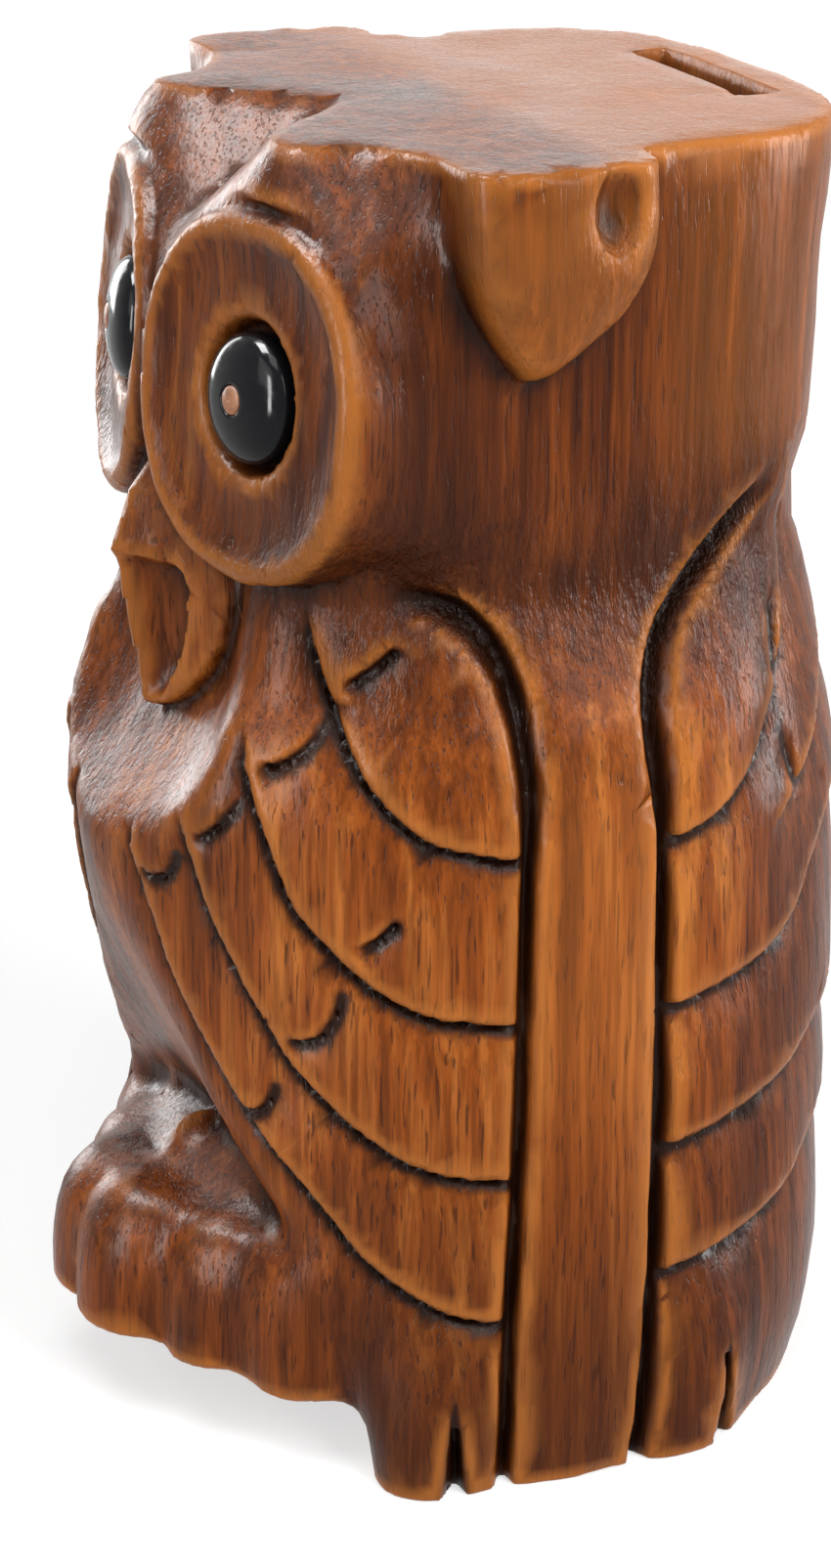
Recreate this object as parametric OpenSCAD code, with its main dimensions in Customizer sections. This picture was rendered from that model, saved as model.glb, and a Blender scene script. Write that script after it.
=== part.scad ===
// Owl money box, carved from one log, standing on its own base.
// Millimetres. +Z is up, the face looks along -Y, the owl's left side is +X.
// The origin is on the ground, at the middle of the plan.

/* [Block] */
// Height from the ground to the flat top of the head
block_h = 160; // [140:1:180]
// Half width of the body at the wings
body_half_w = 46.8; // [42:0.2:52]
// Reach of the back behind the body's middle line
back_reach = 46.4; // [42:0.2:52]
// Reach of the breast in front of the body's middle line
breast_reach = 46.6; // [42:0.2:50]
// Half width of the head
head_half_w = 37.6; // [34:0.2:41]

/* [Feathers] */
// Heights on the side column where the feather rows end, lowest first
feather_rows = [24, 41, 60, 81];
// Depth of the step under each feather row
feather_step = 2.2; // [0.5:0.1:3]
// Depth of the two grooves beside the side column
column_groove = 3.2; // [1:0.1:4.5]
// Half angle of each column groove, seen from above, in degrees
column_groove_angle = 2.4; // [1.5:0.1:3.5]

/* [Face] */
// Radius of each round face disc
disc_r = 20.7; // [18:0.1:22]
// Distance of a disc's middle from the owl's middle plane
disc_x = 20.6; // [18:0.1:22]
// Distance of the discs' middle below the flat top of the head
disc_drop = 28.2; // [26:0.2:34]
// Front of the disc's rim, ahead of the body's middle line
disc_front = 35.7; // [34:0.1:38]
// Angle that each disc turns outward
disc_turn = 13.6; // [8:0.2:18]
// Angle that each disc leans back
disc_lean = 5.3; // [0:0.1:8]
// Depth of a disc's hollow face below its rim
disc_dish = 2.4; // [1:0.1:3.5]
// Distance of the beak's tip below the discs' middle
beak_drop = 42.8; // [38:0.2:48]

/* [Eyes] */
// Radius of an eye bead
eye_r = 7.7; // [6:0.1:8.5]
// Height of an eye bead's dome
eye_dome = 2.6; // [2:0.1:5]
// Radius of the socket around an eye bead
socket_r = 9.3; // [9:0.1:10.5]
// Depth of the socket below the disc's rim
socket_depth = 4.4; // [3.8:0.1:6]
// Radius of the wooden pin through each bead
eye_pin_r = 1.7; // [1:0.1:2]
// Length of the wooden pin behind the bead
eye_pin_grip = 6; // [3:0.5:10]
// Gap around each eye pin
pin_gap = 0.05; // [0.02:0.01:0.1]

/* [Coin slot] */
// Length of the coin slot
slot_l = 30; // [26:0.5:34]
// Width of the coin slot
slot_w = 4.6; // [4.3:0.1:5.5]
// Distance of the slot's middle from the furthest reach of the back
slot_inset = 14.2; // [13.4:0.2:17]

/* [Hollow] */
// Radius of the hollow that holds the coins
hollow_r = 28; // [24:0.5:29]
// Thickness of the wood behind the hollow, where the back reaches furthest
hollow_wall = 9.4; // [8.4:0.1:12]
// Height of the hollow's ceiling above the ground
hollow_top = 106; // [90:1:108]
// Thickness of the wooden base disc
base_t = 6; // [4:0.5:9]
// Width of the ledge that the base disc seats on
base_ledge = 2; // [1.5:0.1:2.5]
// Distance of the base disc above the ground
base_inset = 0.6; // [0.2:0.1:1.5]
// Gap around the base disc
base_gap = 0.05; // [0.02:0.01:0.1]

/* [Stopper] */
// Radius of the stopper's plug
plug_r = 14; // [11:0.5:17]
// Length of the stopper's plug above its flange
plug_l = 8; // [6:0.5:14]
// Radius of the stopper's flange
flange_r = 17.5; // [17.5:0.5:22]
// Thickness of the stopper's flange
flange_t = 2.4; // [1.5:0.1:3]
// Gap around the plug in its hole
plug_gap = 0.06; // [0.02:0.01:0.1]
// Gap around the flange in its recess
flange_gap = 0.4; // [0.3:0.05:0.8]

/* [Ears] */
// Reach of an ear tuft from the owl's middle plane
ear_reach = 46; // [43:0.2:49]
// Height of an ear tuft
ear_h = 26; // [20:0.5:30]

/* [Feet] */
// Reach of the longest toe in front of the origin
toe_reach = 49.4; // [46:0.2:54]
// Radius of a toe's rounded end
toe_r = 8.6; // [7:0.2:10]
// Height of the toes' undersides above the ground
toe_lift = 8; // [6:0.1:10]
// Height of the feet's top above the ground
foot_top = 29; // [24:0.5:34]

/* [Hidden] */
wood = [0.42, 0.2, 0.09];
pale_wood = [0.62, 0.4, 0.22];
black_gloss = [0.02, 0.02, 0.02];
rubber_black = [0.06, 0.06, 0.06];
cut = 1; // Extra length that a cutter runs past the face that it opens
soft_fn = 16; // Sides of the rounded lumps that are carved into the block
rim_fn = 32; // Sides of the face discs

// The body's middle line stands here, so that the plan is centred on the origin.
mid_y = toe_reach - back_reach;
disc_z = block_h - disc_drop;
beak_tip_z = disc_z - beak_drop;

// ---- Trunk: a stack of rings that follow the feather rows ----
neck_z = 112;
crown_edge_z = block_h - 2;
front_border = 13.5; // Angle of the column's front groove, forward of sideways
back_border = 8.5; // Angle of the column's back groove, behind sideways

// The back of the head, and the inward rounding of its top edge.
head_back = back_reach - 14;
crown_inset = 3;

// Each list gives a size at a few heights.
half_widths = [[0, body_half_w - 0.8], [10, body_half_w], [84, body_half_w - 0.3],
    [95, body_half_w - 2.3], [103, body_half_w - 6.5], [neck_z, head_half_w - 1.6],
    [120, head_half_w], [148, head_half_w], [crown_edge_z, head_half_w - 0.6], [block_h, head_half_w - 1.6]];
front_reaches = [[0, breast_reach - 3], [30, breast_reach - 2], [60, breast_reach],
    [80, breast_reach + 0.2], [92, breast_reach - 2.5], [101, breast_reach - 7], [neck_z, breast_reach - 5],
    [120, breast_reach - 5.5], [138, breast_reach - 5.5], [148, breast_reach - 1.5],
    [crown_edge_z, breast_reach - 3.5], [block_h, breast_reach - 5.5]];
back_reaches = [[0, back_reach - 1.6], [8, back_reach - 0.4], [20, back_reach], [76, back_reach],
    [92, back_reach - 2.2], [103, back_reach - 7], [neck_z, head_back - 0.5], [122, head_back],
    [148, head_back - 0.6], [crown_edge_z, head_back - 1.6], [block_h, head_back - crown_inset]];
middles = [[0, 0], [94, 0], [103, 3], [neck_z, 8], [120, 9], [block_h, 9]];
front_squareness = [[0, 2], [98, 2], [neck_z - 3, 3], [118, 5], [124, 8], [134, 8], [143, 4.2], [154, 3], [block_h, 2.4]];
back_squareness = [[0, 2], [98, 2], [neck_z, 2.3], [block_h, 2.4]];

// How far the feather rows rise away from the column: per squared degree, and at most.
front_climb = [[0, 0], [24, 0.015], [41, 0.016], [60, 0.021], [81, 0.029], [96, 0.02], [114, 0.004],
    [140, 0]];
front_room = [[0, 0], [24, 73], [41, 63], [60, 50], [81, 35], [96, 24], [108, 15], [120, 7], [140, 0]];
back_climb = [[0, 0], [24, 0.006], [41, 0.007], [60, 0.012], [81, 0.027], [96, 0.02], [114, 0.003],
    [140, 0]];
back_room = [[0, 0], [24, 16], [41, 20], [60, 26], [81, 32], [96, 22], [108, 14], [120, 7], [140, 0]];

// The scooped underside of the breast, above the feet: its depth behind the breast at a few heights.
scoop_top = 66;
scoop_depths = [[0, 26.7], [17, 21.7], [35, 14.7], [44, 8.2], [50, 3], [58, 0.9], [scoop_top, -1]];
scoop_bend = 0.006;

row_gap = 0.35; // Half height of the cut under a feather row
row_rings = [0.5]; // Rings within a row, as shares of its height

function row_base(k) = k == 0 ? 0 : feather_rows[k - 1];
function row_levels(k) =
    let (low = row_base(k), high = row_base(k + 1), first = k == 0 ? 0 : low + row_gap)
    concat([first], [for (share = row_rings) low + share * (high - low)], [high - row_gap]);
last_row = feather_rows[len(feather_rows) - 1];
upper_levels = [last_row + row_gap, last_row + 7, 96, 103, neck_z, 118, 132, 146, crown_edge_z, block_h];
levels = concat([for (k = [0 : len(feather_rows) - 1]) each row_levels(k)], upper_levels);

// Share of the way up through its feather row, 0 at the feather's lower edge.
function row_share(z) =
    let (k = len([for (top = feather_rows) if (z > top) 1]))
    k >= len(feather_rows) ? 0 : (z - row_base(k)) / (row_base(k + 1) - row_base(k));

function capped(rise, room) = room <= 0 ? 0 : rise / pow(1 + pow(rise / room, 3), 1 / 3);
function front_edge(z) = -front_border - 0.065 * pow(max(0, z - 96), 2) * (z < neck_z ? 1 : 0)
    - (z < neck_z ? 0 : 0.065 * pow(neck_z - 96, 2));
function back_edge(z) = back_border + 0.04 * pow(max(0, min(z, 116) - 99), 2);

// Angles and groove depths around the left side, from the front to the back.
front_steps = 9;
column_steps = 2;
back_steps = 9;
function fan(first, last, steps) = [for (i = [0 : steps]) first + (last - first) * i / steps];
function side_angles(z) =
    let (f = front_edge(z), b = back_edge(z), g = column_groove_angle)
    concat(fan(-90, f - g, front_steps), [f], fan(f + g, b - g, column_steps), [b],
        fan(b + g, 90, back_steps));
front_line = front_steps + 1;
back_line = front_line + column_steps + 2;
side_count = back_line + back_steps + 2;

// The wings and the back stand out a little beside the column at the bottom.
flare_top = 34;
front_flare = 3.4;
back_flare = 2.3;
function bump(offset, half) = pow(max(0, 1 - pow(offset / half, 2)), 2);
function flare(angle, z) =
    pow(max(0, 1 - z / flare_top), 0.7)
        * (front_flare * bump(angle + 29, 16) + back_flare * bump(angle - 19, 15));

function shape_r(angle, z) =
    let (reach = lookup(z, angle < 0 ? front_reaches : back_reaches),
        p = lookup(z, angle < 0 ? front_squareness : back_squareness))
    flare(angle, z)
        + pow(pow(abs(cos(angle)) / lookup(z, half_widths), p) + pow(abs(sin(angle)) / reach, p), -1 / p);

// Distance to the scoop, where it lies inside the trunk.
function scoop_r(angle, z) =
    let (deep = lookup(z, scoop_depths) - breast_reach, s = sin(angle),
        bend = scoop_bend * pow(cos(angle), 2))
    angle >= -1 || z > scoop_top ? body_half_w * 2
        : let (inner = s * s + 4 * bend * deep)
          bend < 0.00001 ? deep / s : inner < 0 ? body_half_w * 2 : (-s - sqrt(inner)) / (2 * bend);

function feather_dent(line, angle, z) =
    line <= front_line + column_steps + 2 && line >= front_line ? 0
        : feather_step * pow(row_share(z), 1.3) * (angle < 0 ? min(1, max(0, (84 + angle) / 12)) : 1);
front_groove_top = 110;
back_groove_top = 118;
groove_fade = 12; // Height over which a column groove runs out
function groove_dent(line, z) =
    line == front_line ? column_groove * min(1, max(0, (front_groove_top - z) / groove_fade))
        : line == back_line ? column_groove * min(1, max(0, (back_groove_top - z) / groove_fade)) : 0;

function side_point(line, z) =
    let (angle = side_angles(z)[line], from = angle < 0 ? front_edge(z) : back_edge(z),
        turn = angle < 0 ? max(0, from - angle) : max(0, angle - from),
        rise = angle < 0 ? capped(lookup(z, front_climb) * turn * turn, lookup(z, front_room))
            : capped(lookup(z, back_climb) * turn * turn, lookup(z, back_room)),
        h = z + rise,
        r = min(shape_r(angle, h), scoop_r(angle, h)) - feather_dent(line, angle, z) - groove_dent(line, z))
    [r * cos(angle), mid_y + lookup(h, middles) + r * sin(angle), h];

function ring(z) =
    let (side = [for (line = [0 : side_count - 1]) side_point(line, z)])
    concat(side, [for (line = [side_count - 2 : -1 : 1]) [-side[line].x, side[line].y, side[line].z]]);
ring_count = 2 * side_count - 2;

module trunk() {
    rings = [for (z = levels) each ring(z)];
    top = (len(levels) - 1) * ring_count;
    walls = [for (i = [0 : len(levels) - 2], j = [0 : ring_count - 1])
        let (a = i * ring_count + j, b = i * ring_count + (j + 1) % ring_count)
        each [[a, b + ring_count, b], [a, a + ring_count, b + ring_count]]];
    floor_face = [for (j = [0 : ring_count - 1]) j];
    top_face = [for (j = [ring_count - 1 : -1 : 0]) top + j];
    polyhedron(points = rings, faces = concat(walls, [floor_face, top_face]));
}

// ---- Head ----
// Puts its children on a face disc, with their +Z out of the disc's rim.
module at_disc(side) {
    translate([side * disc_x, mid_y - disc_front, disc_z])
        rotate([90 - disc_lean, 0, side * disc_turn])
            children();
}

disc_depth = 14;
disc_back_r = 17.4; // Radius at the back of the disc, inside the head
disc_edge = 1.2; // Rounding of the disc's rim
rim_w = 3;
lip_w = 1.4; // Width of the raised lip around the socket

module face_disc(side) {
    at_disc(side)
        hull() {
            translate([0, 0, -disc_depth])
                cylinder(r1 = disc_back_r, r2 = disc_r, h = disc_depth - disc_edge, $fn = rim_fn);
            translate([0, 0, -disc_edge])
                cylinder(r1 = disc_r, r2 = disc_r - disc_edge, h = disc_edge, $fn = rim_fn);
        }
}

// The hollow face of a disc, with a raised lip left around the socket.
module dish_cut(side) {
    lip_r = socket_r + lip_w;
    at_disc(side)
        rotate_extrude($fn = 72)
            polygon([[0, -disc_dish * 0.7], [lip_r - 0.4, -disc_dish * 0.7], [lip_r + 1.5, -disc_dish],
                [disc_r - rim_w - 2.4, -disc_dish], [disc_r - rim_w, 0], [disc_r - rim_w, cut], [0, cut]]);
}

module socket_cut(side) {
    at_disc(side) {
        translate([0, 0, -socket_depth])
            cylinder(r = socket_r, h = socket_depth + cut, $fn = 64);
        translate([0, 0, -socket_depth - eye_pin_grip])
            cylinder(r = eye_pin_r + pin_gap, h = eye_pin_grip + cut, $fn = 48);
    }
}

ear_top_r = 8.6; // Radius of an ear tuft's rounded top
ear_low_r = 3.4; // Radius of its lower tip
ear_back_y = mid_y + 1;
ear_front_y = mid_y - 9;
ear_lean = 0.6; // How much further in the front of the tuft lies
module ear(side) {
    top_x = ear_reach - ear_top_r;
    hull() {
        translate([side * top_x, ear_back_y, block_h - ear_top_r])
            sphere(r = ear_top_r, $fn = soft_fn);
        translate([side * (top_x - ear_lean), ear_front_y, block_h - 1 - ear_top_r])
            sphere(r = ear_top_r, $fn = soft_fn);
        translate([side * (head_half_w - 1), ear_front_y + 1, block_h - ear_h + ear_low_r])
            sphere(r = ear_low_r, $fn = soft_fn);
    }
}

beak_reach = 43.2; // Beak's ridge, ahead of the middle line
beak_half_w = 9.5;
beak_length = 33; // From the beak's tip up to its root between the discs
beak_rise = 20; // From the beak's tip up to the ridge's furthest point
beak_depth = 20;
beak_side_depth = 9;
module beak() {
    front_y = mid_y - beak_reach;
    ridge_z = beak_tip_z + beak_rise;
    side_y = front_y + beak_side_depth; // Where the beak's side faces run into the head
    points = [[0, front_y + 5, beak_tip_z + beak_length], [0, front_y, ridge_z],
        [0, front_y + 1.8, beak_tip_z], [beak_half_w, side_y, ridge_z - 1],
        [-beak_half_w, side_y, ridge_z - 1], [0, front_y + beak_depth, ridge_z - 2]];
    faces = [[0, 3, 1], [0, 1, 4], [1, 3, 2], [1, 2, 4], [0, 5, 3], [0, 4, 5], [2, 3, 5], [2, 5, 4]];
    hull()
        polyhedron(points, faces);
}

// The valley between the brows, and the hollow outside each brow.
valley_r = 21; // Radius of the valley's cone at the front
valley_l = 46;
valley_tilt = 2.5; // Angle that the valley falls toward the face
valley_back = 4; // Start of the valley, in front of the middle line
valley_rise = 3; // Height of the valley's axis above the top
brow_hollow_r = 22;
brow_hollow_out = 4; // Middle of the hollow outside a brow, beyond the side of the head
brow_hollow_front = 26;
brow_hollow_rise = 13;
module brow_cuts() {
    translate([0, mid_y - valley_back, block_h + valley_rise])
        rotate([90 + valley_tilt, 0, 0])
            cylinder(h = valley_l, r1 = 0.5, r2 = valley_r, $fn = rim_fn);
    for (side = [-1, 1])
        translate([side * (head_half_w + brow_hollow_out), mid_y - brow_hollow_front,
                block_h + brow_hollow_rise])
            sphere(r = brow_hollow_r, $fn = rim_fn);
}

// ---- Feet: one stack of rings round the heel, with a lobe for each toe ----
heel_y = mid_y - 9;
heel_r = 27;
toe_turns = [7.8, 28, 49.5]; // Direction of each toe of a foot, from straight ahead
toe_insets = [0, 4.2, 3.5]; // How much shorter each toe is than the longest
longest_toe = (toe_reach + heel_y) / cos(toe_turns[0]);

// Reach of one toe's round lobe, seen from the heel, at an angle away from the toe's own line.
function lobe(i, away) =
    let (centre = longest_toe - toe_insets[i] - toe_r, off = centre * sin(away))
    abs(away) > 60 || abs(off) >= toe_r ? 0 : centre * cos(away) + sqrt(toe_r * toe_r - off * off);
function toes_r(turn) = max([for (i = [0 : len(toe_turns) - 1]) lobe(i, abs(turn) - toe_turns[i])]);

// Each ring: its height, how far it stays inside the toes' outline, and its least radius.
foot_rings = [[0, 30, heel_r - 6], [toe_lift - 0.5, 30, heel_r], [toe_lift, 5, heel_r],
    [toe_lift + 2.2, 1.4, heel_r], [toe_lift + 6, 0, heel_r], [foot_top - 6.5, 0.4, heel_r],
    [foot_top - 2, 2.4, heel_r], [foot_top, 6.5, heel_r], [foot_top + 10, 30, heel_r - 3]];
lobe_steps = [-10, -5, 0, 5];
half_turns = concat([0], [for (t = toe_turns, step = lobe_steps) if (t + step > 0) t + step],
    [toe_turns[2] + 10, toe_turns[2] + 15, 90, 125, 155]);
foot_turns = concat([180], [for (i = [len(half_turns) - 1 : -1 : 1]) -half_turns[i]], half_turns);
foot_count = len(foot_turns);

module feet() {
    points = [for (ring = foot_rings, turn = foot_turns)
        let (r = max(ring[2], toes_r(turn) - ring[1]))
        [r * sin(turn), heel_y - r * cos(turn), ring[0]]];
    top = (len(foot_rings) - 1) * foot_count;
    walls = [for (i = [0 : len(foot_rings) - 2], j = [0 : foot_count - 1])
        let (a = i * foot_count + j, b = i * foot_count + (j + 1) % foot_count)
        each [[a, b + foot_count, b], [a, a + foot_count, b + foot_count]]];
    floor_face = [for (j = [0 : foot_count - 1]) j];
    top_face = [for (j = [foot_count - 1 : -1 : 0]) top + j];
    polyhedron(points = points, faces = concat(walls, [floor_face, top_face]));
}

// ---- Hollow, base disc and stopper ----
hollow_y = mid_y + back_reach - hollow_wall - hollow_r;
slot_y = mid_y + back_reach - slot_inset;
base_r = hollow_r + base_ledge;
base_top = base_inset + base_t;

module hollow_cut() {
    translate([0, hollow_y, -cut])
        cylinder(r = base_r + base_gap, h = base_top + cut, $fn = 96);
    translate([0, hollow_y, base_top - cut])
        cylinder(r = hollow_r, h = hollow_top - base_top + cut, $fn = 96);
    translate([-slot_l / 2, slot_y - slot_w / 2, hollow_top - cut])
        cube([slot_l, slot_w, block_h - hollow_top + 2 * cut]);
}

// The outside of the block, brought to its full height.
module carved_skin() {
    resize([0, 0, block_h])
        union() {
            difference() {
                trunk();
                brow_cuts();
            }
            for (side = [-1, 1]) {
                face_disc(side);
                ear(side);
            }
            beak();
            feet();
        }
}

module carved_body() {
    color(wood)
        difference() {
            carved_skin();
            for (side = [-1, 1]) {
                dish_cut(side);
                socket_cut(side);
            }
            hollow_cut();
        }
}

module base_disc() {
    color(pale_wood)
        translate([0, hollow_y, base_inset])
            difference() {
                cylinder(r = base_r, h = base_t, $fn = 96);
                translate([0, 0, -cut])
                    cylinder(r = plug_r + plug_gap, h = base_t + 2 * cut, $fn = 72);
                translate([0, 0, -cut])
                    cylinder(r = flange_r + flange_gap, h = flange_t + cut, $fn = 72);
            }
}

grip_w = 4; // Width of the bar that is pinched to pull the stopper out
grip_depth = 3.6;
module coin_stopper() {
    color(rubber_black)
        translate([0, hollow_y, base_inset])
            difference() {
                union() {
                    cylinder(r = flange_r, h = flange_t, $fn = 72);
                    cylinder(r = plug_r, h = flange_t + plug_l, $fn = 72);
                }
                difference() {
                    translate([0, 0, -cut])
                        cylinder(r = plug_r - 3, h = grip_depth + cut, $fn = 64);
                    translate([-plug_r, -grip_w / 2, -2 * cut])
                        cube([2 * plug_r, grip_w, grip_depth + 3 * cut]);
                }
            }
}

bead_skirt = 4; // Height of the bead's side, below its dome
module eye_bead(side) {
    dome_r = (eye_r * eye_r + eye_dome * eye_dome) / (2 * eye_dome);
    color(black_gloss)
        at_disc(side)
            translate([0, 0, -socket_depth])
                difference() {
                    union() {
                        cylinder(r = eye_r, h = bead_skirt, $fn = 72);
                        translate([0, 0, bead_skirt])
                            intersection() {
                                cylinder(r = eye_r, h = eye_dome, $fn = 72);
                                translate([0, 0, eye_dome - dome_r])
                                    sphere(r = dome_r, $fn = 96);
                            }
                    }
                    translate([0, 0, -cut])
                        cylinder(r = eye_pin_r + pin_gap, h = eye_dome + bead_skirt + 2 * cut, $fn = 48);
                }
}

module eye_pin(side) {
    pin_top = bead_skirt + eye_dome;
    color(pale_wood)
        at_disc(side)
            translate([0, 0, -socket_depth - eye_pin_grip])
                cylinder(r = eye_pin_r, h = eye_pin_grip + pin_top, $fn = 48);
}

carved_body();
base_disc();
coin_stopper();
eye_bead(1);  // left_eye_bead
eye_bead(-1);  // right_eye_bead
eye_pin(1);  // left_eye_pin
eye_pin(-1);  // right_eye_pin
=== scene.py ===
"""A hand-carved wooden owl money box, finished in satin lacquer, on a plain pale floor.

Sizes of the carving are in millimetres, and the finished meshes are in metres. Its places are
measured from the owl's middle plane, from the middle line of its body, positive toward the back,
and from the ground. Both halves are the same, so the carving is worked out for the left one.
"""

import logging
import math
from abc import ABC, abstractmethod
from dataclasses import dataclass
from enum import Enum
from functools import cached_property
from typing import ClassVar, NamedTuple

import bpy
import numpy as np
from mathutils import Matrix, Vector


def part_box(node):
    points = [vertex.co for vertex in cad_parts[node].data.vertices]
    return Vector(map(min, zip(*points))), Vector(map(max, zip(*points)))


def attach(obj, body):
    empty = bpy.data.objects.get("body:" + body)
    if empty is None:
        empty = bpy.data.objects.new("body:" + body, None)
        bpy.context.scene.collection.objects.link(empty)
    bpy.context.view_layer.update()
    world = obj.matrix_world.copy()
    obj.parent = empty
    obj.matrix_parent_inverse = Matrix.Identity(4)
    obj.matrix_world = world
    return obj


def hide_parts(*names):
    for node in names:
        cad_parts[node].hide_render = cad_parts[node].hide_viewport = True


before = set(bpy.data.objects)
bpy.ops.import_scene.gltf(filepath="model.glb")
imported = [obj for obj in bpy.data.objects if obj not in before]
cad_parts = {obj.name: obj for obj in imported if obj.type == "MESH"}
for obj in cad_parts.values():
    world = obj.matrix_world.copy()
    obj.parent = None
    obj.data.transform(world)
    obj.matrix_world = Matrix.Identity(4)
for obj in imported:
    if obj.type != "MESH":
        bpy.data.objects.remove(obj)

import openvdb
from mathutils import Matrix, Vector

MM = 0.001
LOG = logging.getLogger("owl")

Field = np.ndarray
Faces = list[list[int]]
Line = tuple[tuple[float, float], ...]
Triple = tuple[float, float, float]
Socket = bpy.types.NodeSocket
Input = Socket | float | tuple[float, ...]


class Quality(Enum):
    """How finely the carving is sampled, as the distance between samples in millimetres."""

    DRAFT = 1.0
    FINAL = 0.62


class Slot(Enum):
    """The record's material slots for the new pieces; they are passed along but not assigned."""

    CARVED_WOOD = "carved_wood"
    EYE_BLACK = "eye_black"
    PIN_WOOD = "pin_wood"


class Side(Enum):
    """The owl's own left and right, as the sign of the sideways direction."""

    LEFT = 1
    RIGHT = -1


class Places(NamedTuple):
    """Places on the owl, in millimetres: sideways, behind the body's middle line, and up."""

    x: Field
    y: Field
    z: Field


# ---------------------------------------------------------------- shaping tools


def smooth_min(a: Field, b: Field, blend: float) -> Field:
    """Joins two solids with a soft fillet.

    Args:
        a: Signed distances to the first solid, negative inside.
        b: Signed distances to the second solid.
        blend: Width of the fillet.

    Returns:
        Signed distances to the joined solid.
    """
    share = np.clip(blend - np.abs(a - b), 0.0, None)
    return np.minimum(a, b) - share * share * (0.25 / blend)


def smooth_max(a: Field, b: Field, blend: float) -> Field:
    """Keeps what two solids have in common, with a soft edge."""
    return -smooth_min(-a, -b, blend)


def smooth_step(value: Field, low: float, high: float) -> Field:
    """Rises softly from 0 at low to 1 at high."""
    t = np.clip((value - low) / (high - low), 0.0, 1.0)
    return t * t * (3.0 - 2.0 * t)


def hump(value: Field, centre: float, width: float) -> Field:
    """Gives a soft hump that is 1 at its centre and fades over its width on each side."""
    return np.exp(-(((value - centre) / width) ** 2))


def table(points: Line, at: Field) -> Field:
    """Reads a table of (place, value) pairs in rising order of place, in straight steps."""
    places, values = zip(*points)
    return np.interp(at, places, values)


def spread(values: Field, radius: int, axis: int) -> Field:
    """Averages along one axis over a moving window.

    Args:
        values: The field to average.
        radius: Samples on each side of the window, at least 1.
        axis: The axis to average along.

    Returns:
        The averaged field, in the same shape.
    """
    pad = [(0, 0)] * values.ndim
    pad[axis] = (radius + 1, radius)
    total = np.cumsum(np.pad(values, pad, mode="edge"), axis=axis, dtype=np.float64)
    size, window = values.shape[axis], 2 * radius + 1
    upper = np.take(total, range(window, window + size), axis=axis)
    lower = np.take(total, range(0, size), axis=axis)
    return ((upper - lower) / window).astype(values.dtype)


def read_field(values: Field, places: Field) -> Field:
    """Reads a three-dimensional field between its samples.

    Args:
        values: The field.
        places: Rows of three sample coordinates.

    Returns:
        One value for each row.
    """
    at = np.clip(places, 0, np.array(values.shape) - 1.001)
    base = at.astype(int)
    part = at - base
    total = np.zeros(len(at))
    for corner in range(8):
        step = np.array([corner & 1, corner >> 1 & 1, corner >> 2 & 1])
        share = np.prod(np.where(step, part, 1 - part), axis=1)
        i, j, k = (base + step).T
        total += share * values[i, j, k]
    return total


def cloud(shape: tuple[int, ...], cell: float, seed: int) -> Field:
    """Makes soft random lumps, evenly spread around zero.

    Args:
        shape: Shape of the field to fill.
        cell: Size of a lump, in samples.
        seed: Seed of the random numbers.

    Returns:
        The field, with a spread of about one.
    """
    chance = np.random.default_rng(seed)
    out = chance.normal(size=[int(n / cell) + 4 for n in shape]).astype(np.float32)
    for axis, count in enumerate(shape):
        at = np.arange(count) / cell + 1.0
        base = at.astype(int)
        part = (at - base).astype(np.float32)
        part = (part * part * (3 - 2 * part)).reshape(np.roll((count, 1, 1), axis))
        out = np.take(out, base, axis=axis) * (1 - part) + np.take(out, base + 1, axis=axis) * part
    return out


@dataclass
class Block:
    """A box of evenly spaced sample points, in millimetres.

    Args:
        low: Lowest corner.
        counts: Number of samples along each axis.
        step: Distance between samples.
    """

    low: Triple
    counts: tuple[int, ...]
    step: float

    def __post_init__(self) -> None:
        """Lays out the sample points along each axis."""
        self.x, self.y, self.z = (
            (low + self.step * np.arange(count, dtype=np.float32)).reshape(np.roll((count, 1, 1), axis))
            for axis, (low, count) in enumerate(zip(self.low, self.counts))
        )

    def places(self, middle: float) -> Places:
        """Gives the samples as places on the owl, whose body has its middle line there."""
        return Places(self.x, self.y - middle, self.z)

    def skin(self, values: Field, coarseness: float) -> tuple[np.ndarray, Faces]:
        """Wraps the solid part of a field in a skin of small faces.

        Args:
            values: Signed distances at the samples, negative inside.
            coarseness: How far flat areas may be merged into larger faces.

        Returns:
            The corner points in millimetres, and the faces.
        """
        grid = openvdb.FloatGrid(background=float(3 * self.step))
        grid.copyFromArray(np.ascontiguousarray(values, dtype=np.float32))
        points, triangles, quads = grid.convertToPolygons(isovalue=0.0, adaptivity=coarseness)
        return points * self.step + np.array(self.low), quads.tolist() + triangles.tolist()


def make_mesh(name: str, points: np.ndarray, faces: Faces) -> bpy.types.Object:
    """Makes a smooth-shaded mesh object from points in millimetres.

    Args:
        name: Name of the object.
        points: Corner points, in millimetres.
        faces: Lists of corner numbers.

    Returns:
        The new object, in metres, linked to the scene.
    """
    mesh = bpy.data.meshes.new(name)
    mesh.from_pydata((points * MM).tolist(), [], faces)
    mesh.validate()
    mesh.shade_smooth()
    made = bpy.data.objects.new(name, mesh)
    bpy.context.scene.collection.objects.link(made)
    LOG.info("%s: %d points, %d faces", name, len(mesh.vertices), len(mesh.polygons))
    return made


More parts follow.
